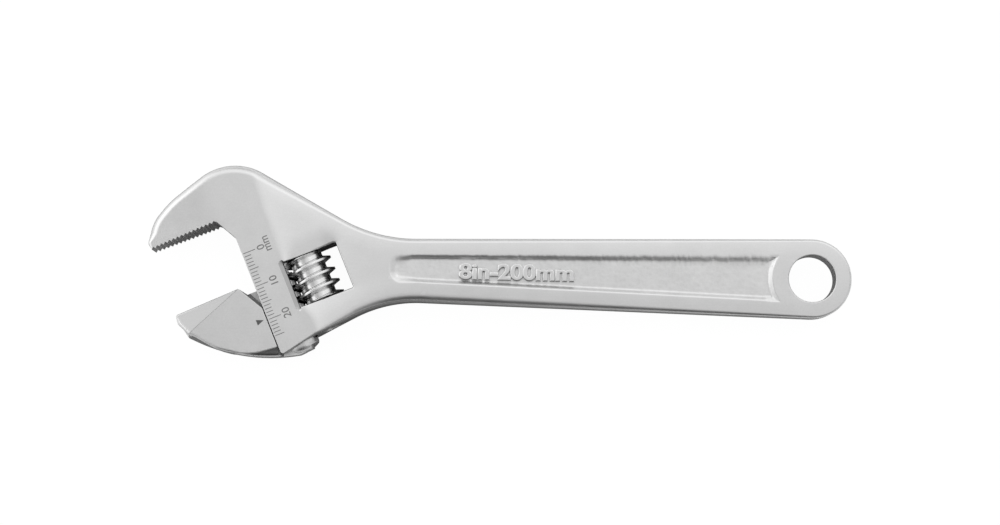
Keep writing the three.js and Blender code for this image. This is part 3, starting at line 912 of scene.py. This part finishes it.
def buildPin():
    r, p, end = pin["radius"], pin["plugRadius"], pin["end"]
    first, middle, last = pin["chamfers"]
    profile = [(r - first, pin["start"]), (r, pin["start"] + first), (r, pin["plugStart"])]
    profile += [(p - middle, pin["plugStart"]), (p, pin["plugStart"] + middle)]
    place = pin["plugStart"] + middle
    while place < end - pin["threadEnd"]:
        profile += [(p - pin["threadDepth"], place + pin["thread"] / 2), (p, place + pin["thread"])]
        place += pin["thread"]
    profile += [(p, end - last), (p - last, end)]
    made = turnedBar("wrench_pin", profile, head["wormAxis"], 64)
    left, right = head["wormAxis"] - pin["slot"] / 2, head["wormAxis"] + pin["slot"] / 2
    low, high = -end - 1, -end + pin["slotDepth"]
    outline = [(left, high), (left, low), (right, low), (right, high)]
    reach = pin["plugRadius"] + 1.4  # past the plug's sides
    slot = plainPrism("pin_slot", outline, middleHeight - reach, middleHeight + reach, headMatrix)
    return combine(made, [slot], "DIFFERENCE")


wrenchPin = buildPin()

# Spring in the worm's pocket.

spring = {"wire": 0.35, "radius": 2.65, "start": 18.3, "length": 3.7, "turns": 4, "steps": 36, "sides": 12}


def buildSpring():
    rings, sides = spring["turns"] * spring["steps"], spring["sides"]
    verts = []
    for i in range(rings + 1):
        share = i / rings
        angle = share * spring["turns"] * 2 * math.pi
        v = spring["start"] + share * spring["length"]
        for k in range(sides):
            lean = 2 * math.pi * k / sides
            radius = spring["radius"] + spring["wire"] * math.cos(lean)
            x = head["wormAxis"] + radius * math.cos(angle)
            z = middleHeight + radius * math.sin(angle)
            verts.append((x, -v - spring["wire"] * math.sin(lean), z))
    faces = ringFaces(rings + 1, sides)
    faces.append(tuple(range(sides)))
    faces.append(tuple(range(rings * sides, (rings + 1) * sides)))
    return makePiece("wrench_spring", verts, faces, headMatrix, smoothAngle=60)


wrenchSpring = buildSpring()
print("worm pin and spring made")

# Marks: the opening scale and its numbers on the body, the pointer on the jaw, and the raised size.

marks = {
    "zero": 11.3,  # where the scale starts along the throat
    "range": 25,
    "gap": 0.35,
    "width": 0.22,
    "lengths": (2.0, 2.7, 3.6),  # each millimetre, each fifth, each tenth
    "raised": 0.015,
    "sunk": 0.05,
    "bolder": 0.02,
    "numberHeight": 2.2,
    "numberPlace": 4.5,
    "unitPlace": 6.9,
    "unitSetBack": 0.4,
    "unitHeight": 1.6,
    "unitWidth": 4.3,
    "pointerTip": -1.1,
    "pointerLead": 0.35,
    "pointerLength": 2.1,
    "pointerWidth": 1.65,
}
legend = {
    "text": "8in-200mm",
    "middle": (4.7, -3.15),  # in millimetres from the middle of the wrench
    "height": 5.0,
    "width": 32.9,
    "lean": math.radians(-1.1),
    "raised": 0.95,
    "round": 0.4,
}


def textMesh(name, words, height, raised, roundness=0.0, bolder=0.0, width=None):
    curve = bpy.data.curves.new(name, "FONT")
    curve.body = words
    curve.size = height / 0.72  # the font's capitals are 0.72 of its size
    curve.align_x = "CENTER"
    curve.offset = bolder
    curve.bevel_depth = roundness
    curve.bevel_resolution = 3
    curve.extrude = max(raised - roundness, 0.001)
    curve.resolution_u = 8
    holder = bpy.data.objects.new(name, curve)
    bpy.context.scene.collection.objects.link(holder)
    bpy.context.view_layer.update()
    graph = bpy.context.evaluated_depsgraph_get()
    mesh = bpy.data.meshes.new_from_object(holder.evaluated_get(graph))
    bpy.data.objects.remove(holder)
    xs = [v.co.x for v in mesh.vertices]
    ys = [v.co.y for v in mesh.vertices]
    mesh.transform(Matrix.Translation((-(min(xs) + max(xs)) / 2, -(min(ys) + max(ys)) / 2, 0)))
    if width:
        mesh.transform(Matrix.Scale(width / (max(xs) - min(xs)), 4, (1, 0, 0)))
    mesh.transform(Matrix.Scale(height / (max(ys) - min(ys)), 4, (0, 1, 0)))
    return mesh


def placeMesh(name, mesh, matrix):
    mesh.transform(Matrix.Scale(mm, 4) @ matrix)
    piece = bpy.data.objects.new(name, mesh)
    bpy.context.scene.collection.objects.link(piece)
    return piece


def joinPieces(name, pieces):
    with bpy.context.temp_override(
        active_object=pieces[0], object=pieces[0], selected_objects=pieces, selected_editable_objects=pieces
    ):
        bpy.ops.object.join()
    pieces[0].name = name
    pieces[0].data.name = name
    return pieces[0]


topFace = middleHeight + head["thickness"] / 2


def markTicks():
    verts, faces = [], []
    low, high = topFace - marks["sunk"], topFace + marks["raised"]
    for k in range(marks["range"] + 1):
        length = marks["lengths"][2 if k % 10 == 0 else 1 if k % 5 == 0 else 0]
        v, half = marks["zero"] + k, marks["width"] / 2
        base = len(verts)
        for z in (low, high):
            verts += [(marks["gap"], -v - half, z), (marks["gap"] + length, -v - half, z)]
            verts += [(marks["gap"] + length, -v + half, z), (marks["gap"], -v + half, z)]
        sides = [(0, 3, 2, 1), (4, 5, 6, 7), (0, 1, 5, 4), (1, 2, 6, 5), (2, 3, 7, 6), (3, 0, 4, 7)]
        faces += [tuple(base + i for i in side) for side in sides]
    return makePiece("scale_ticks", verts, faces, headMatrix)


def markWords(name, words, u, v, height, width=None):
    mesh = textMesh(name, words, height, marks["raised"], bolder=marks["bolder"], width=width)
    middle = headMatrix @ Vector((u, -v, topFace))
    turn = Matrix((
        (-openWay.x, -acrossWay.x, 0, middle.x),
        (-openWay.y, -acrossWay.y, 0, middle.y),
        (0, 0, 1, middle.z),
        (0, 0, 0, 1),
    ))
    return placeMesh(name, mesh, turn)


def buildScale():
    pieces = [markTicks()]
    for value in range(0, marks["range"], 10):
        u = marks["numberPlace"] + marks["numberHeight"] / 2
        pieces.append(markWords("scale_number", str(value), u, marks["zero"] + value, marks["numberHeight"]))
    u = marks["unitPlace"] + marks["unitHeight"] / 2
    v = marks["zero"] - marks["unitSetBack"]
    pieces.append(markWords("scale_unit", "mm", u, v, marks["unitHeight"], marks["unitWidth"]))
    return joinPieces("wrench_scale", pieces)


def buildPointer():
    tip, length, half = marks["pointerTip"], marks["pointerLength"], marks["pointerWidth"] / 2
    v = marks["zero"] + head["opening"] - marks["pointerLead"]
    outline = [(tip, -v), (tip - length, -v + half), (tip - length, -v - half)]
    low, high = topFace - marks["sunk"], topFace + marks["raised"]
    return plainPrism("wrench_pointer", outline, low, high, headMatrix)


def buildLegend():
    words, height, width = legend["text"], legend["height"], legend["width"]
    mesh = textMesh("wrench_size", words, height, legend["raised"], legend["round"], width=width)
    point = np.array([[legend["middle"][0] - throat.x, legend["middle"][1] - throat.y]])
    floor = middleHeight + bodyHalf(point)[0]
    place = Matrix.Translation((*legend["middle"], floor)) @ Matrix.Rotation(legend["lean"], 4, "Z")
    return placeMesh("wrench_size", mesh, place)


wrenchScale = buildScale()
wrenchPointer = buildPointer()
wrenchSize = buildLegend()
for piece in (wrenchSize, wrenchScale):
    finishShading(piece, 50)
print("marks made")

# Materials. Lengths inside them are in metres, as in the scene.


def addNode(tree, kind, **settings):
    node = tree.nodes.new(kind)
    for key, value in settings.items():
        setattr(node, key, value)
    return node


def setInputs(node, **values):
    for key, value in values.items():
        node.inputs[key.replace("_", " ")].default_value = value
    return node


def newGroup(name, inputs, outputs):
    tree = bpy.data.node_groups.new(name, "ShaderNodeTree")
    for label, default in inputs.items():
        socket = tree.interface.new_socket(name=label, in_out="INPUT", socket_type="NodeSocketFloat")
        socket.default_value = default
    for label in outputs:
        tree.interface.new_socket(name=label, in_out="OUTPUT", socket_type="NodeSocketFloat")
    return tree, tree.nodes.new("NodeGroupInput"), tree.nodes.new("NodeGroupOutput")


def mathNode(tree, operation, first, second=None):
    node = addNode(tree, "ShaderNodeMath", operation=operation)
    for socket, value in zip(node.inputs, (first, second)):
        if value is None:
            continue
        if isinstance(value, (int, float)):
            socket.default_value = value
        else:
            tree.links.new(value, socket)
    return node.outputs[0]


# Adds a share of one value to another.
def addShare(tree, base, value, share):
    return mathNode(tree, "ADD", base, mathNode(tree, "MULTIPLY", value, share))


# Sizes of the grain and wear, per metre, and the shares in which they are mixed.
grainSizes = {
    "fine": 2600.0,
    "clouds": 110.0,
    "lines": 500.0,
    "lineStretch": (0.12, 6.0, 6.0),
    "grainTone": 0.5,
    "lineTone": 0.4,
    "forged": 520.0,
    "pits": 1150.0,
    "pitDepth": 0.55,
    "forgedLevel": 0.75,
    "wear": 300.0,
    "wearGain": 1.6,
}


def noiseNode(tree, place, scale, detail=3.0, roughness=0.55, stretch=None):
    noise = setInputs(addNode(tree, "ShaderNodeTexNoise"), Scale=scale, Detail=detail, Roughness=roughness)
    if stretch:
        mapping = addNode(tree, "ShaderNodeMapping")
        mapping.inputs["Scale"].default_value = stretch
        tree.links.new(place, mapping.inputs["Vector"])
        place = mapping.outputs["Vector"]
    tree.links.new(place, noise.inputs["Vector"])
    return noise.outputs[0]


# Fine satin grain with clouds of tone and faint polishing lines.
def makeGrainGroup():
    inputs = {"Grain": 1.0, "Clouds": 1.0, "Lines": 1.0}
    tree, entry, leave = newGroup("satinGrain", inputs, ("Height", "Tone"))
    place = addNode(tree, "ShaderNodeTexCoord").outputs["Object"]
    noises = {
        "Grain": noiseNode(tree, place, grainSizes["fine"], 2.0),
        "Clouds": noiseNode(tree, place, grainSizes["clouds"], 4.0),
        "Lines": noiseNode(tree, place, grainSizes["lines"], 2.0, 0.5, grainSizes["lineStretch"]),
    }
    grain, cloudy, drawn = [
        mathNode(tree, "MULTIPLY", mathNode(tree, "SUBTRACT", noise, 0.5), entry.outputs[label])
        for label, noise in noises.items()
    ]
    tree.links.new(mathNode(tree, "ADD", grain, drawn), leave.inputs["Height"])
    tone = addShare(tree, cloudy, grain, grainSizes["grainTone"])
    tree.links.new(addShare(tree, tone, drawn, grainSizes["lineTone"]), leave.inputs["Tone"])
    return tree


# Mottled, blasted look of a forged surface under its plating.
def makeForgedGroup():
    tree, entry, leave = newGroup("forgedMottle", {"Size": 1.0}, ("Height", "Tone"))
    place = addNode(tree, "ShaderNodeTexCoord").outputs["Object"]
    scaled = addNode(tree, "ShaderNodeVectorMath", operation="SCALE")
    tree.links.new(place, scaled.inputs[0])
    tree.links.new(entry.outputs["Size"], scaled.inputs["Scale"])
    spot = scaled.outputs[0]
    coarse = noiseNode(tree, spot, grainSizes["forged"], 3.0, 0.6)
    pits = addNode(tree, "ShaderNodeTexVoronoi", feature="SMOOTH_F1")
    setInputs(pits, Scale=grainSizes["pits"], Smoothness=0.6)
    tree.links.new(spot, pits.inputs["Vector"])
    height = addShare(tree, coarse, pits.outputs["Distance"], grainSizes["pitDepth"])
    tree.links.new(height, leave.inputs["Height"])
    tree.links.new(mathNode(tree, "SUBTRACT", height, grainSizes["forgedLevel"]), leave.inputs["Tone"])
    return tree


# Edges rubbed bright, broken up so that the wear isn't even.
def makeWearGroup():
    tree, entry, leave = newGroup("edgeWear", {"Start": 0.53, "End": 0.6}, ("Mask",))
    place = addNode(tree, "ShaderNodeTexCoord").outputs["Object"]
    sharp = addNode(tree, "ShaderNodeNewGeometry").outputs["Pointiness"]
    spread = addNode(tree, "ShaderNodeMapRange")
    tree.links.new(sharp, spread.inputs["Value"])
    tree.links.new(entry.outputs["Start"], spread.inputs["From Min"])
    tree.links.new(entry.outputs["End"], spread.inputs["From Max"])
    broken = mathNode(tree, "MULTIPLY", spread.outputs[0], noiseNode(tree, place, grainSizes["wear"], 4.0))
    tree.links.new(mathNode(tree, "MULTIPLY", broken, grainSizes["wearGain"]), leave.inputs["Mask"])
    return tree


satinGrain = makeGrainGroup()
forgedMottle = makeForgedGroup()
edgeWear = makeWearGroup()


def placeGroup(tree, group, **values):
    node = addNode(tree, "ShaderNodeGroup", node_tree=group)
    return setInputs(node, **values)


def mixColour(tree, factor, first, second):
    node = addNode(tree, "ShaderNodeMix", data_type="RGBA")
    for socket, value in zip((node.inputs[0], node.inputs[6], node.inputs[7]), (factor, first, second)):
        if isinstance(value, (int, float, tuple)):
            socket.default_value = value
        else:
            tree.links.new(value, socket)
    return node.outputs[2]


def grey(value, warmth=0.0):
    return (value * (1 + warmth), value, value * (1 - warmth), 1.0)


# A metal finish from a dictionary. A mask attribute, if named, says where the forged mottle shows.
def metalFinish(name, finish, mask=None):
    material = bpy.data.materials.new(name)
    material.use_nodes = True
    tree = material.node_tree
    shader = next(n for n in tree.nodes if n.type == "BSDF_PRINCIPLED")
    shader.inputs["Metallic"].default_value = 1.0
    shader.inputs["Specular IOR Level"].default_value = 0.5
    grain = placeGroup(
        tree, satinGrain, Grain=finish["grain"], Clouds=finish["clouds"], Lines=finish["lines"])
    wear = placeGroup(tree, edgeWear, Start=finish["wearStart"], End=finish["wearEnd"])
    tone = grain.outputs["Tone"]
    height = mathNode(tree, "MULTIPLY", grain.outputs["Height"], finish["grainDepth"])
    rough = addShare(tree, finish["roughness"], tone, finish["roughSpread"])
    if mask:
        forged = placeGroup(tree, forgedMottle, Size=finish["forgedSize"])
        place = addNode(tree, "ShaderNodeAttribute", attribute_name=mask).outputs["Fac"]
        raised = mathNode(tree, "MULTIPLY", forged.outputs["Height"], finish["forgedDepth"])
        height = addShare(tree, height, raised, place)
        patch = mathNode(tree, "MULTIPLY", forged.outputs["Tone"], place)
        tone = addShare(tree, tone, patch, finish["forgedTone"])
        rough = addShare(tree, rough, place, finish["forgedRough"])
    worn = mathNode(tree, "MULTIPLY", wear.outputs["Mask"], finish["wear"])
    # Painted shade: this attribute mixes the colour towards a dark shade colour, and roughens the surface,
    # on walls, hollows and flanks where shade and dark reflections fall.
    share = addNode(tree, "ShaderNodeAttribute", attribute_name="paintedShade").outputs["Fac"]
    rough = addShare(tree, rough, worn, -finish["wornPolish"])
    rough = addShare(tree, rough, share, finish["paintedShadeRough"])
    colour = mixColour(tree, mathNode(tree, "ADD", tone, 0.5), finish["dark"], finish["light"])
    colour = mixColour(tree, worn, colour, finish["wornColour"])
    colour = mixColour(tree, share, colour, finish["paintedShadeColour"])
    bump = setInputs(addNode(tree, "ShaderNodeBump"), Strength=finish["bump"], Distance=mm)
    tree.links.new(height, bump.inputs["Height"])
    tree.links.new(colour, shader.inputs["Base Color"])
    tree.links.new(rough, shader.inputs["Roughness"])
    tree.links.new(bump.outputs["Normal"], shader.inputs["Normal"])
    return material


# paintedShadeColour is painted shade: the dark colour laid on shaded walls, hollows and flanks.
satinChrome = {
    "dark": grey(0.66), "light": grey(0.84), "wornColour": grey(0.88), "paintedShadeColour": grey(0.17),
    "roughness": 0.34, "roughSpread": 0.18, "bump": 0.5,
    "grain": 1.0, "clouds": 0.5, "lines": 0.35, "grainDepth": 0.012,
    "forgedSize": 0.7, "forgedDepth": 0.09, "forgedTone": 0.5, "forgedRough": 0.06,
    "wear": 0.6, "wearStart": 0.52, "wearEnd": 0.58, "wornPolish": 0.1, "paintedShadeRough": 0.12,
}
jawChrome = dict(satinChrome, dark=grey(0.64), light=grey(0.82), forgedDepth=0.06, forgedRough=0.0)
brightChrome = dict(
    satinChrome, dark=grey(0.72), light=grey(0.86), roughness=0.23, roughSpread=0.1, grainDepth=0.006,
    lines=0.15, wear=0.3)
turnedSteel = dict(
    satinChrome, dark=grey(0.42, 0.02), light=grey(0.6, 0.02), roughness=0.3, grainDepth=0.02, lines=0.6)
springSteel = dict(
    satinChrome, dark=grey(0.3, 0.03), light=grey(0.45, 0.03), roughness=0.28, grainDepth=0.006)
etchedMark = dict(
    satinChrome, dark=grey(0.08), light=grey(0.2), roughness=0.62, clouds=1.2, grainDepth=0.03, wear=0.2)
pointerInk = dict(etchedMark, dark=grey(0.02), light=grey(0.07))


# Marks the vertices that lie inside a loop, from 0 outside to 1 over a short way in.
def maskInside(piece, name, loop, matrix, fade):
    count = len(piece.data.vertices)
    places = np.empty(count * 3, np.float32)
    piece.data.vertices.foreach_get("co", places)
    places = places.reshape(-1, 3) / mm
    local = places @ np.array(matrix.inverted().to_3x3()).T + np.array(matrix.inverted().translation)
    gap, _ = nearLoop(local[:, :2], loop)
    value = np.where(insideLoop(local[:, :2], loop), np.clip(gap / fade, 0, 1), 0)
    layer = piece.data.attributes.new(name, "FLOAT", "POINT")
    layer.data.foreach_set("value", value.astype(np.float32))


maskInside(wrenchBody, "forgedArea", panelEdge, handleMatrix, fade=0.8)


# Marks the vertices less than a height from the middle: the jaw's belly and web.
def maskThin(piece, name, limit):
    layer = piece.data.attributes.new(name, "FLOAT", "POINT")
    depths = [abs(v.co.z / mm - middleHeight) for v in piece.data.vertices]
    layer.data.foreach_set("value", [1.0 if depth < limit else 0.0 for depth in depths])


maskThin(wrenchJaw, "forgedArea", limit=head["tipThickness"] / 2 - 0.02)


# Painted shade on each face of a piece: how much of the dark shade colour each face gets, from its place in
# the head's frame.
def dullFaces(piece, shareAt):
    layer = piece.data.attributes.new("paintedShade", "FLOAT", "FACE")
    back = headMatrix.inverted()
    shares = []
    for face in piece.data.polygons:
        spot = back @ (face.center / mm)
        shares.append(shareAt(spot.x, -spot.y, abs(spot.z - middleHeight), face.normal))
    layer.data.foreach_set("value", shares)


# Shares of painted shade, and the limits that find where it goes: the window's bevel, the teeth, the walls,
# the handle's lower edge, the shelf beside the cheek, the belly, the rack, a dark line along the jaw's
# crease, the darker nose facet and the letters' lower flanks.
paintedShadeShares = {
    "up": 0.6,  # a face whose normal rises more than this faces up
    "steep": 0.85,  # and one that rises less than this is clearly sloped
    "margin": 0.3,
    "windowMargin": 0.6,
    "boreMargin": 0.4,
    "teeth": 0.25,
    "teethSpan": (-1.5, 6.6),
    "wall": 1.0,
    "bevel": 0.45,
    "bevelTop": 0.97,
    "underEdge": 0.75,  # along the handle's lower edge, fading out towards the hanging hole
    "underFrom": 15.0,
    "underStart": 45.0,
    "underRun": 120.0,
    "shelf": 0.45,  # above the first place and below the second: v, and u beyond which it lies
    "shelfTop": (8.0, -5.2),
    "shelfBottom": (15.0, -9.5),
    "beside": 0.9,  # how far from the cheek its shadow darkens the shelf
    "belly": 0.85,  # at the front of the belly, fading out towards the rail
    "bellyTop": 7.0,
    "bellyEnd": -11.0,
    "bellyFade": 8.0,
    "rack": 0.75,
    "rackStart": 8.5,
    "rackLean": 0.4,
    "crease": 0.62,
    "creaseWidth": 0.09,
    "nose": 0.45,
    "letters": 0.7,  # the lower flanks of the raised size
    "letterLean": -0.3,
}


# Painted shade on the body: the window's bevel, the teeth, the handle's lower edge fading out towards the
# hole, and the walls of the window and bore.
def bodyDull(u, v, rise, normal):
    near, up = paintedShadeShares["windowMargin"], paintedShadeShares["up"]
    besideWindow = window["left"] - window["leftBevel"] < u < window["left"] + paintedShadeShares["margin"]
    besideWindow = besideWindow and window["top"] - near < v < window["bottom"] + near
    if besideWindow and up < normal.z < paintedShadeShares["bevelTop"]:
        return paintedShadeShares["bevel"]
    if abs(normal.z) > up:
        return 0.0
    teethTop, teethBottom = paintedShadeShares["teethSpan"]
    if u < paintedShadeShares["margin"] and teethTop < v < teethBottom:
        return paintedShadeShares["teeth"]
    boreSide = head["railAxis"] + body["boreRadius"] + paintedShadeShares["boreMargin"]
    inWindow = 1 < u < window["right"] + 1 and window["top"] - near < v < window["bottom"] + 1
    inBore = 1 < u < boreSide and -1 < v < body["sideLength"] - 2
    x, _ = onHandle(u, v)
    if normal.y < -up and x > paintedShadeShares["underFrom"] and not inWindow:
        return paintedShadeShares["underEdge"] * min(max(1 - (x - paintedShadeShares["underStart"]) / paintedShadeShares["underRun"], 0), 1)
    return paintedShadeShares["wall"] if inWindow or inBore else 0.0


# Painted shade on the jaw: the shelf in the cheek's shadow, the front of the belly, the rack's flanks, a
# dark line along the crease, and the nose facet painted darker.
def jawDull(u, v, rise, normal):
    v = v - head["opening"]
    facing = abs(normal.z) > paintedShadeShares["up"]
    low = rise < head["tipThickness"] / 2 + 0.02
    (topEnd, topStart), (bottomEnd, bottomStart) = paintedShadeShares["shelfTop"], paintedShadeShares["shelfBottom"]
    onShelf = v < topEnd and u > topStart or v > bottomEnd and u > bottomStart
    if low and facing and u < paintedShadeShares["margin"] and onShelf:
        gap, _ = nearLoop(np.array([jawPoint(u, v)]), cheekLoop)
        return paintedShadeShares["wall"] if gap[0] < paintedShadeShares["beside"] or v > bottomEnd else paintedShadeShares["shelf"]
    if low and u < paintedShadeShares["bellyEnd"] and v > paintedShadeShares["bellyTop"]:
        return paintedShadeShares["belly"] * min((paintedShadeShares["bellyEnd"] - u) / paintedShadeShares["bellyFade"], 1)
    if u > paintedShadeShares["rackStart"] and abs(normal.dot(openWay)) > paintedShadeShares["rackLean"]:
        return paintedShadeShares["rack"]
    if facing and not low and u < -jaw["cheekSetBack"]:
        offset = creaseDistance(np.array([jawPoint(u, v)]))[0]
        if abs(offset) < paintedShadeShares["creaseWidth"]:
            return paintedShadeShares["crease"]
        return paintedShadeShares["nose"] if offset < 0 and abs(normal.z) > paintedShadeShares["steep"] else 0.0
    return 0.0


# Painted shadow on the lower flanks of the raised size.
def letterDull(u, v, rise, normal):
    return paintedShadeShares["letters"] if normal.y < paintedShadeShares["letterLean"] and normal.z < paintedShadeShares["steep"] else 0.0


for piece, shareAt in ((wrenchBody, bodyDull), (wrenchSize, letterDull), (wrenchJaw, jawDull)):
    dullFaces(piece, shareAt)

bodyFinish = metalFinish("satin_chrome_body", satinChrome, "forgedArea")
jawFinish = metalFinish("satin_chrome_jaw", jawChrome, "forgedArea")
wormFinish = metalFinish("bright_chrome", brightChrome)
pinFinish = metalFinish("turned_steel", turnedSteel)
springFinish = metalFinish("spring_steel", springSteel)
markFinish = metalFinish("etched_mark", etchedMark)
pointerFinish = metalFinish("pointer_ink", pointerInk)


def finishPiece(piece, material, body, slot, *nodes):
    piece.data.materials.clear()
    piece.data.materials.append(material)
    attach(piece, body)
    if nodes:
        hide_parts(*nodes)


finishPiece(wrenchBody, bodyFinish, "frame", "body_chrome", "body")
finishPiece(wrenchJaw, jawFinish, "jaw", "jaw_chrome", "movable_jaw")
finishPiece(wrenchWorm, wormFinish, "adjuster", "worm_chrome", "worm")
finishPiece(wrenchPin, pinFinish, "frame", "pin_steel", "worm_pin")
finishPiece(wrenchSpring, springFinish, "frame", "spring_steel", "worm_spring")
finishPiece(wrenchSize, bodyFinish, "frame", "body_chrome")
finishPiece(wrenchScale, markFinish, "frame", "body_chrome")
finishPiece(wrenchPointer, pointerFinish, "jaw", "jaw_chrome")
print("materials made")

# Stage: pale floor, soft light from all round, darker low down on the near side, and the camera.

stage = {
    "floorSize": 1.6,
    "floorColour": grey(0.88),
    "floorWhite": 0.93,  # how much of the floor's look is plain white
    "whiteStrength": 1.04,
    # Painted shadow in the metal's reflections: the floor as glossy rays see it is darkened close to the
    # object, darker on the near side, and shaded towards a dark grey.
    "contact": 0.1,  # how far the object darkens the floor near it, and how strongly
    "contactPower": 12.0,
    "nearFloor": (-0.12, -0.02),  # metal sees the floor darker on the near side of these places
    "nearShare": 0.1,
    "glossShade": 0.7,  # how far the plain floor darkens in the metal, and towards what
    "shadeColour": grey(0.1),
    "floorGap": 0.0002,
    "cameraDistance": 0.6,
    "cameraHeight": math.radians(84),
    "lens": 75.5,
    "sensor": 36.0,
}
# Softboxes: place, size and power.
lamps = {
    "softbox": ((0.1, 0.35, 0.95), 0.8, 0.4),
    "side_box": ((-0.8, 0.15, 0.45), 0.7, 0.9),
}
sky = {
    "stops": ((0.0, 0.2), (0.3, 0.5), (0.7, 0.58), (0.92, 0.62), (0.99, 0.68)),  # brightness by height
    # each side's axis, where its light starts and ends to change, and its light at both
    "sides": {
        "near": ("Y", -0.38, -0.85, 1.0, 0.06),  # share left low down on the near side
        "far": ("Y", 0.04, 0.7, 0.0, 0.78),  # light added on the far side,
        "farRise": ("Z", 0.0, 0.6, 0.3, 1.0),  # but not low down
        "left": ("X", -0.2, -0.65, 0.0, 0.9),  # low down to the left
        "right": ("X", 0.14, 0.36, 0.0, 0.25),
        "glow": ("Y", -0.04, -0.24, 0.0, 0.2),  # high up on the near side
    },
}


def makeFloor():
    half = stage["floorSize"] / 2
    mesh = bpy.data.meshes.new("floor")
    corners = [(-half, -half, 0), (half, -half, 0), (half, half, 0), (-half, half, 0)]
    mesh.from_pydata(corners, [], [(0, 1, 2, 3)])
    floor = bpy.data.objects.new("floor", mesh)
    floor.location.z = cadLow.z - stage["floorGap"]
    bpy.context.scene.collection.objects.link(floor)
    material = bpy.data.materials.new("pale_floor")
    material.use_nodes = True
    tree = material.node_tree
    tree.nodes.clear()
    out = tree.nodes.new("ShaderNodeOutputMaterial")
    plain = setInputs(addNode(tree, "ShaderNodeBsdfDiffuse"), Color=stage["floorColour"])
    white = setInputs(addNode(tree, "ShaderNodeEmission"), Color=grey(1.0), Strength=stage["whiteStrength"])
    # metal sees the white floor too, but with a painted contact shadow close to the object and painted shade
    # on the near side
    rays = addNode(tree, "ShaderNodeLightPath").outputs
    near = addNode(tree, "ShaderNodeAmbientOcclusion", samples=8)
    near.inputs["Distance"].default_value = stage["contact"]
    clear = mathNode(tree, "POWER", near.outputs["AO"], stage["contactPower"])
    spot = addNode(tree, "ShaderNodeSeparateXYZ")
    tree.links.new(addNode(tree, "ShaderNodeTexCoord").outputs["Object"], spot.inputs[0])
    darker = addNode(tree, "ShaderNodeMapRange", interpolation_type="SMOOTHSTEP")
    nearLow, nearHigh = stage["nearFloor"]
    setInputs(darker, From_Min=nearLow, From_Max=nearHigh, To_Min=stage["nearShare"], To_Max=1.0)
    tree.links.new(spot.outputs["Y"], darker.inputs["Value"])
    clear = mathNode(tree, "MULTIPLY", clear, darker.outputs[0])
    mirrored = mathNode(tree, "MULTIPLY", rays["Is Glossy Ray"], clear)
    seen = mathNode(tree, "MAXIMUM", rays["Is Camera Ray"], rays["Is Transmission Ray"])
    share = mathNode(tree, "MULTIPLY", mathNode(tree, "MAXIMUM", seen, mirrored), stage["floorWhite"])
    # painted shade: glossy rays see the plain floor darkened towards the shade colour
    shade = addShare(tree, 1.0, rays["Is Glossy Ray"], -stage["glossShade"])
    tree.links.new(mixColour(tree, shade, stage["shadeColour"], stage["floorColour"]), plain.inputs["Color"])
    mix = addNode(tree, "ShaderNodeMixShader")
    tree.links.new(share, mix.inputs[0])
    tree.links.new(plain.outputs[0], mix.inputs[1])
    tree.links.new(white.outputs[0], mix.inputs[2])
    tree.links.new(mix.outputs[0], out.inputs["Surface"])
    mesh.materials.append(material)
    return floor


# A smooth change of brightness from one direction value to another.
def sideLight(tree, direction, start, end, low, high):
    change = addNode(tree, "ShaderNodeMapRange", interpolation_type="SMOOTHSTEP")
    setInputs(change, From_Min=start, From_Max=end, To_Min=low, To_Max=high)
    tree.links.new(direction, change.inputs["Value"])
    return change.outputs[0]


def makeWorld():
    world = bpy.data.worlds.new("studio")
    bpy.context.scene.world = world
    world.use_nodes = True
    tree = world.node_tree
    tree.nodes.clear()
    out = tree.nodes.new("ShaderNodeOutputWorld")
    way = addNode(tree, "ShaderNodeSeparateXYZ")
    tree.links.new(addNode(tree, "ShaderNodeTexCoord").outputs["Generated"], way.inputs[0])
    ramp = addNode(tree, "ShaderNodeValToRGB")
    while len(ramp.color_ramp.elements) < len(sky["stops"]):
        ramp.color_ramp.elements.new(0.5)
    for element, (place, value) in zip(ramp.color_ramp.elements, sky["stops"]):
        element.position = place
        element.color = grey(value)
    tree.links.new(way.outputs["Z"], ramp.inputs["Fac"])
    light = {
        side: sideLight(tree, way.outputs[axis], *change) for side, (axis, *change) in sky["sides"].items()
    }
    added = addShare(tree, light["right"], light["far"], light["farRise"])
    added = addShare(tree, added, light["left"], mathNode(tree, "SUBTRACT", 1.0, way.outputs["Z"]))
    glow = mathNode(tree, "ADD", ramp.outputs["Color"], light["glow"])
    level = addShare(tree, added, glow, light["near"])
    studio = addNode(tree, "ShaderNodeBackground")
    tree.links.new(level, studio.inputs["Strength"])
    white = setInputs(addNode(tree, "ShaderNodeBackground"), Color=grey(1.0), Strength=1.0)
    mix = addNode(tree, "ShaderNodeMixShader")
    tree.links.new(addNode(tree, "ShaderNodeLightPath").outputs["Is Camera Ray"], mix.inputs[0])
    tree.links.new(studio.outputs[0], mix.inputs[1])
    tree.links.new(white.outputs[0], mix.inputs[2])
    tree.links.new(mix.outputs[0], out.inputs["Surface"])


def makeLamp(name, place, size, power):
    light = bpy.data.lights.new(name, "AREA")
    light.energy = power
    light.size = size
    lamp = bpy.data.objects.new(name, light)
    lamp.location = place
    lamp.rotation_euler = (-Vector(place)).to_track_quat("-Z", "Y").to_euler()
    bpy.context.scene.collection.objects.link(lamp)


def makeCamera():
    data = bpy.data.cameras.new("camera")
    data.lens = stage["lens"]
    data.sensor_width = stage["sensor"]
    data.clip_start = 0.01
    camera = bpy.data.objects.new("camera", data)
    target = (cadLow + cadHigh) / 2
    height, distance = stage["cameraHeight"], stage["cameraDistance"]
    camera.location = target + Vector((0, -math.cos(height), math.sin(height))) * distance
    camera.rotation_euler = (math.pi / 2 - height, 0, 0)
    bpy.context.scene.collection.objects.link(camera)
    bpy.context.scene.camera = camera


makeFloor()
makeWorld()
for name, (place, size, power) in lamps.items():
    makeLamp(name, place, size, power)
makeCamera()
bpy.context.scene.view_settings.view_transform = "Standard"
print("stage made")
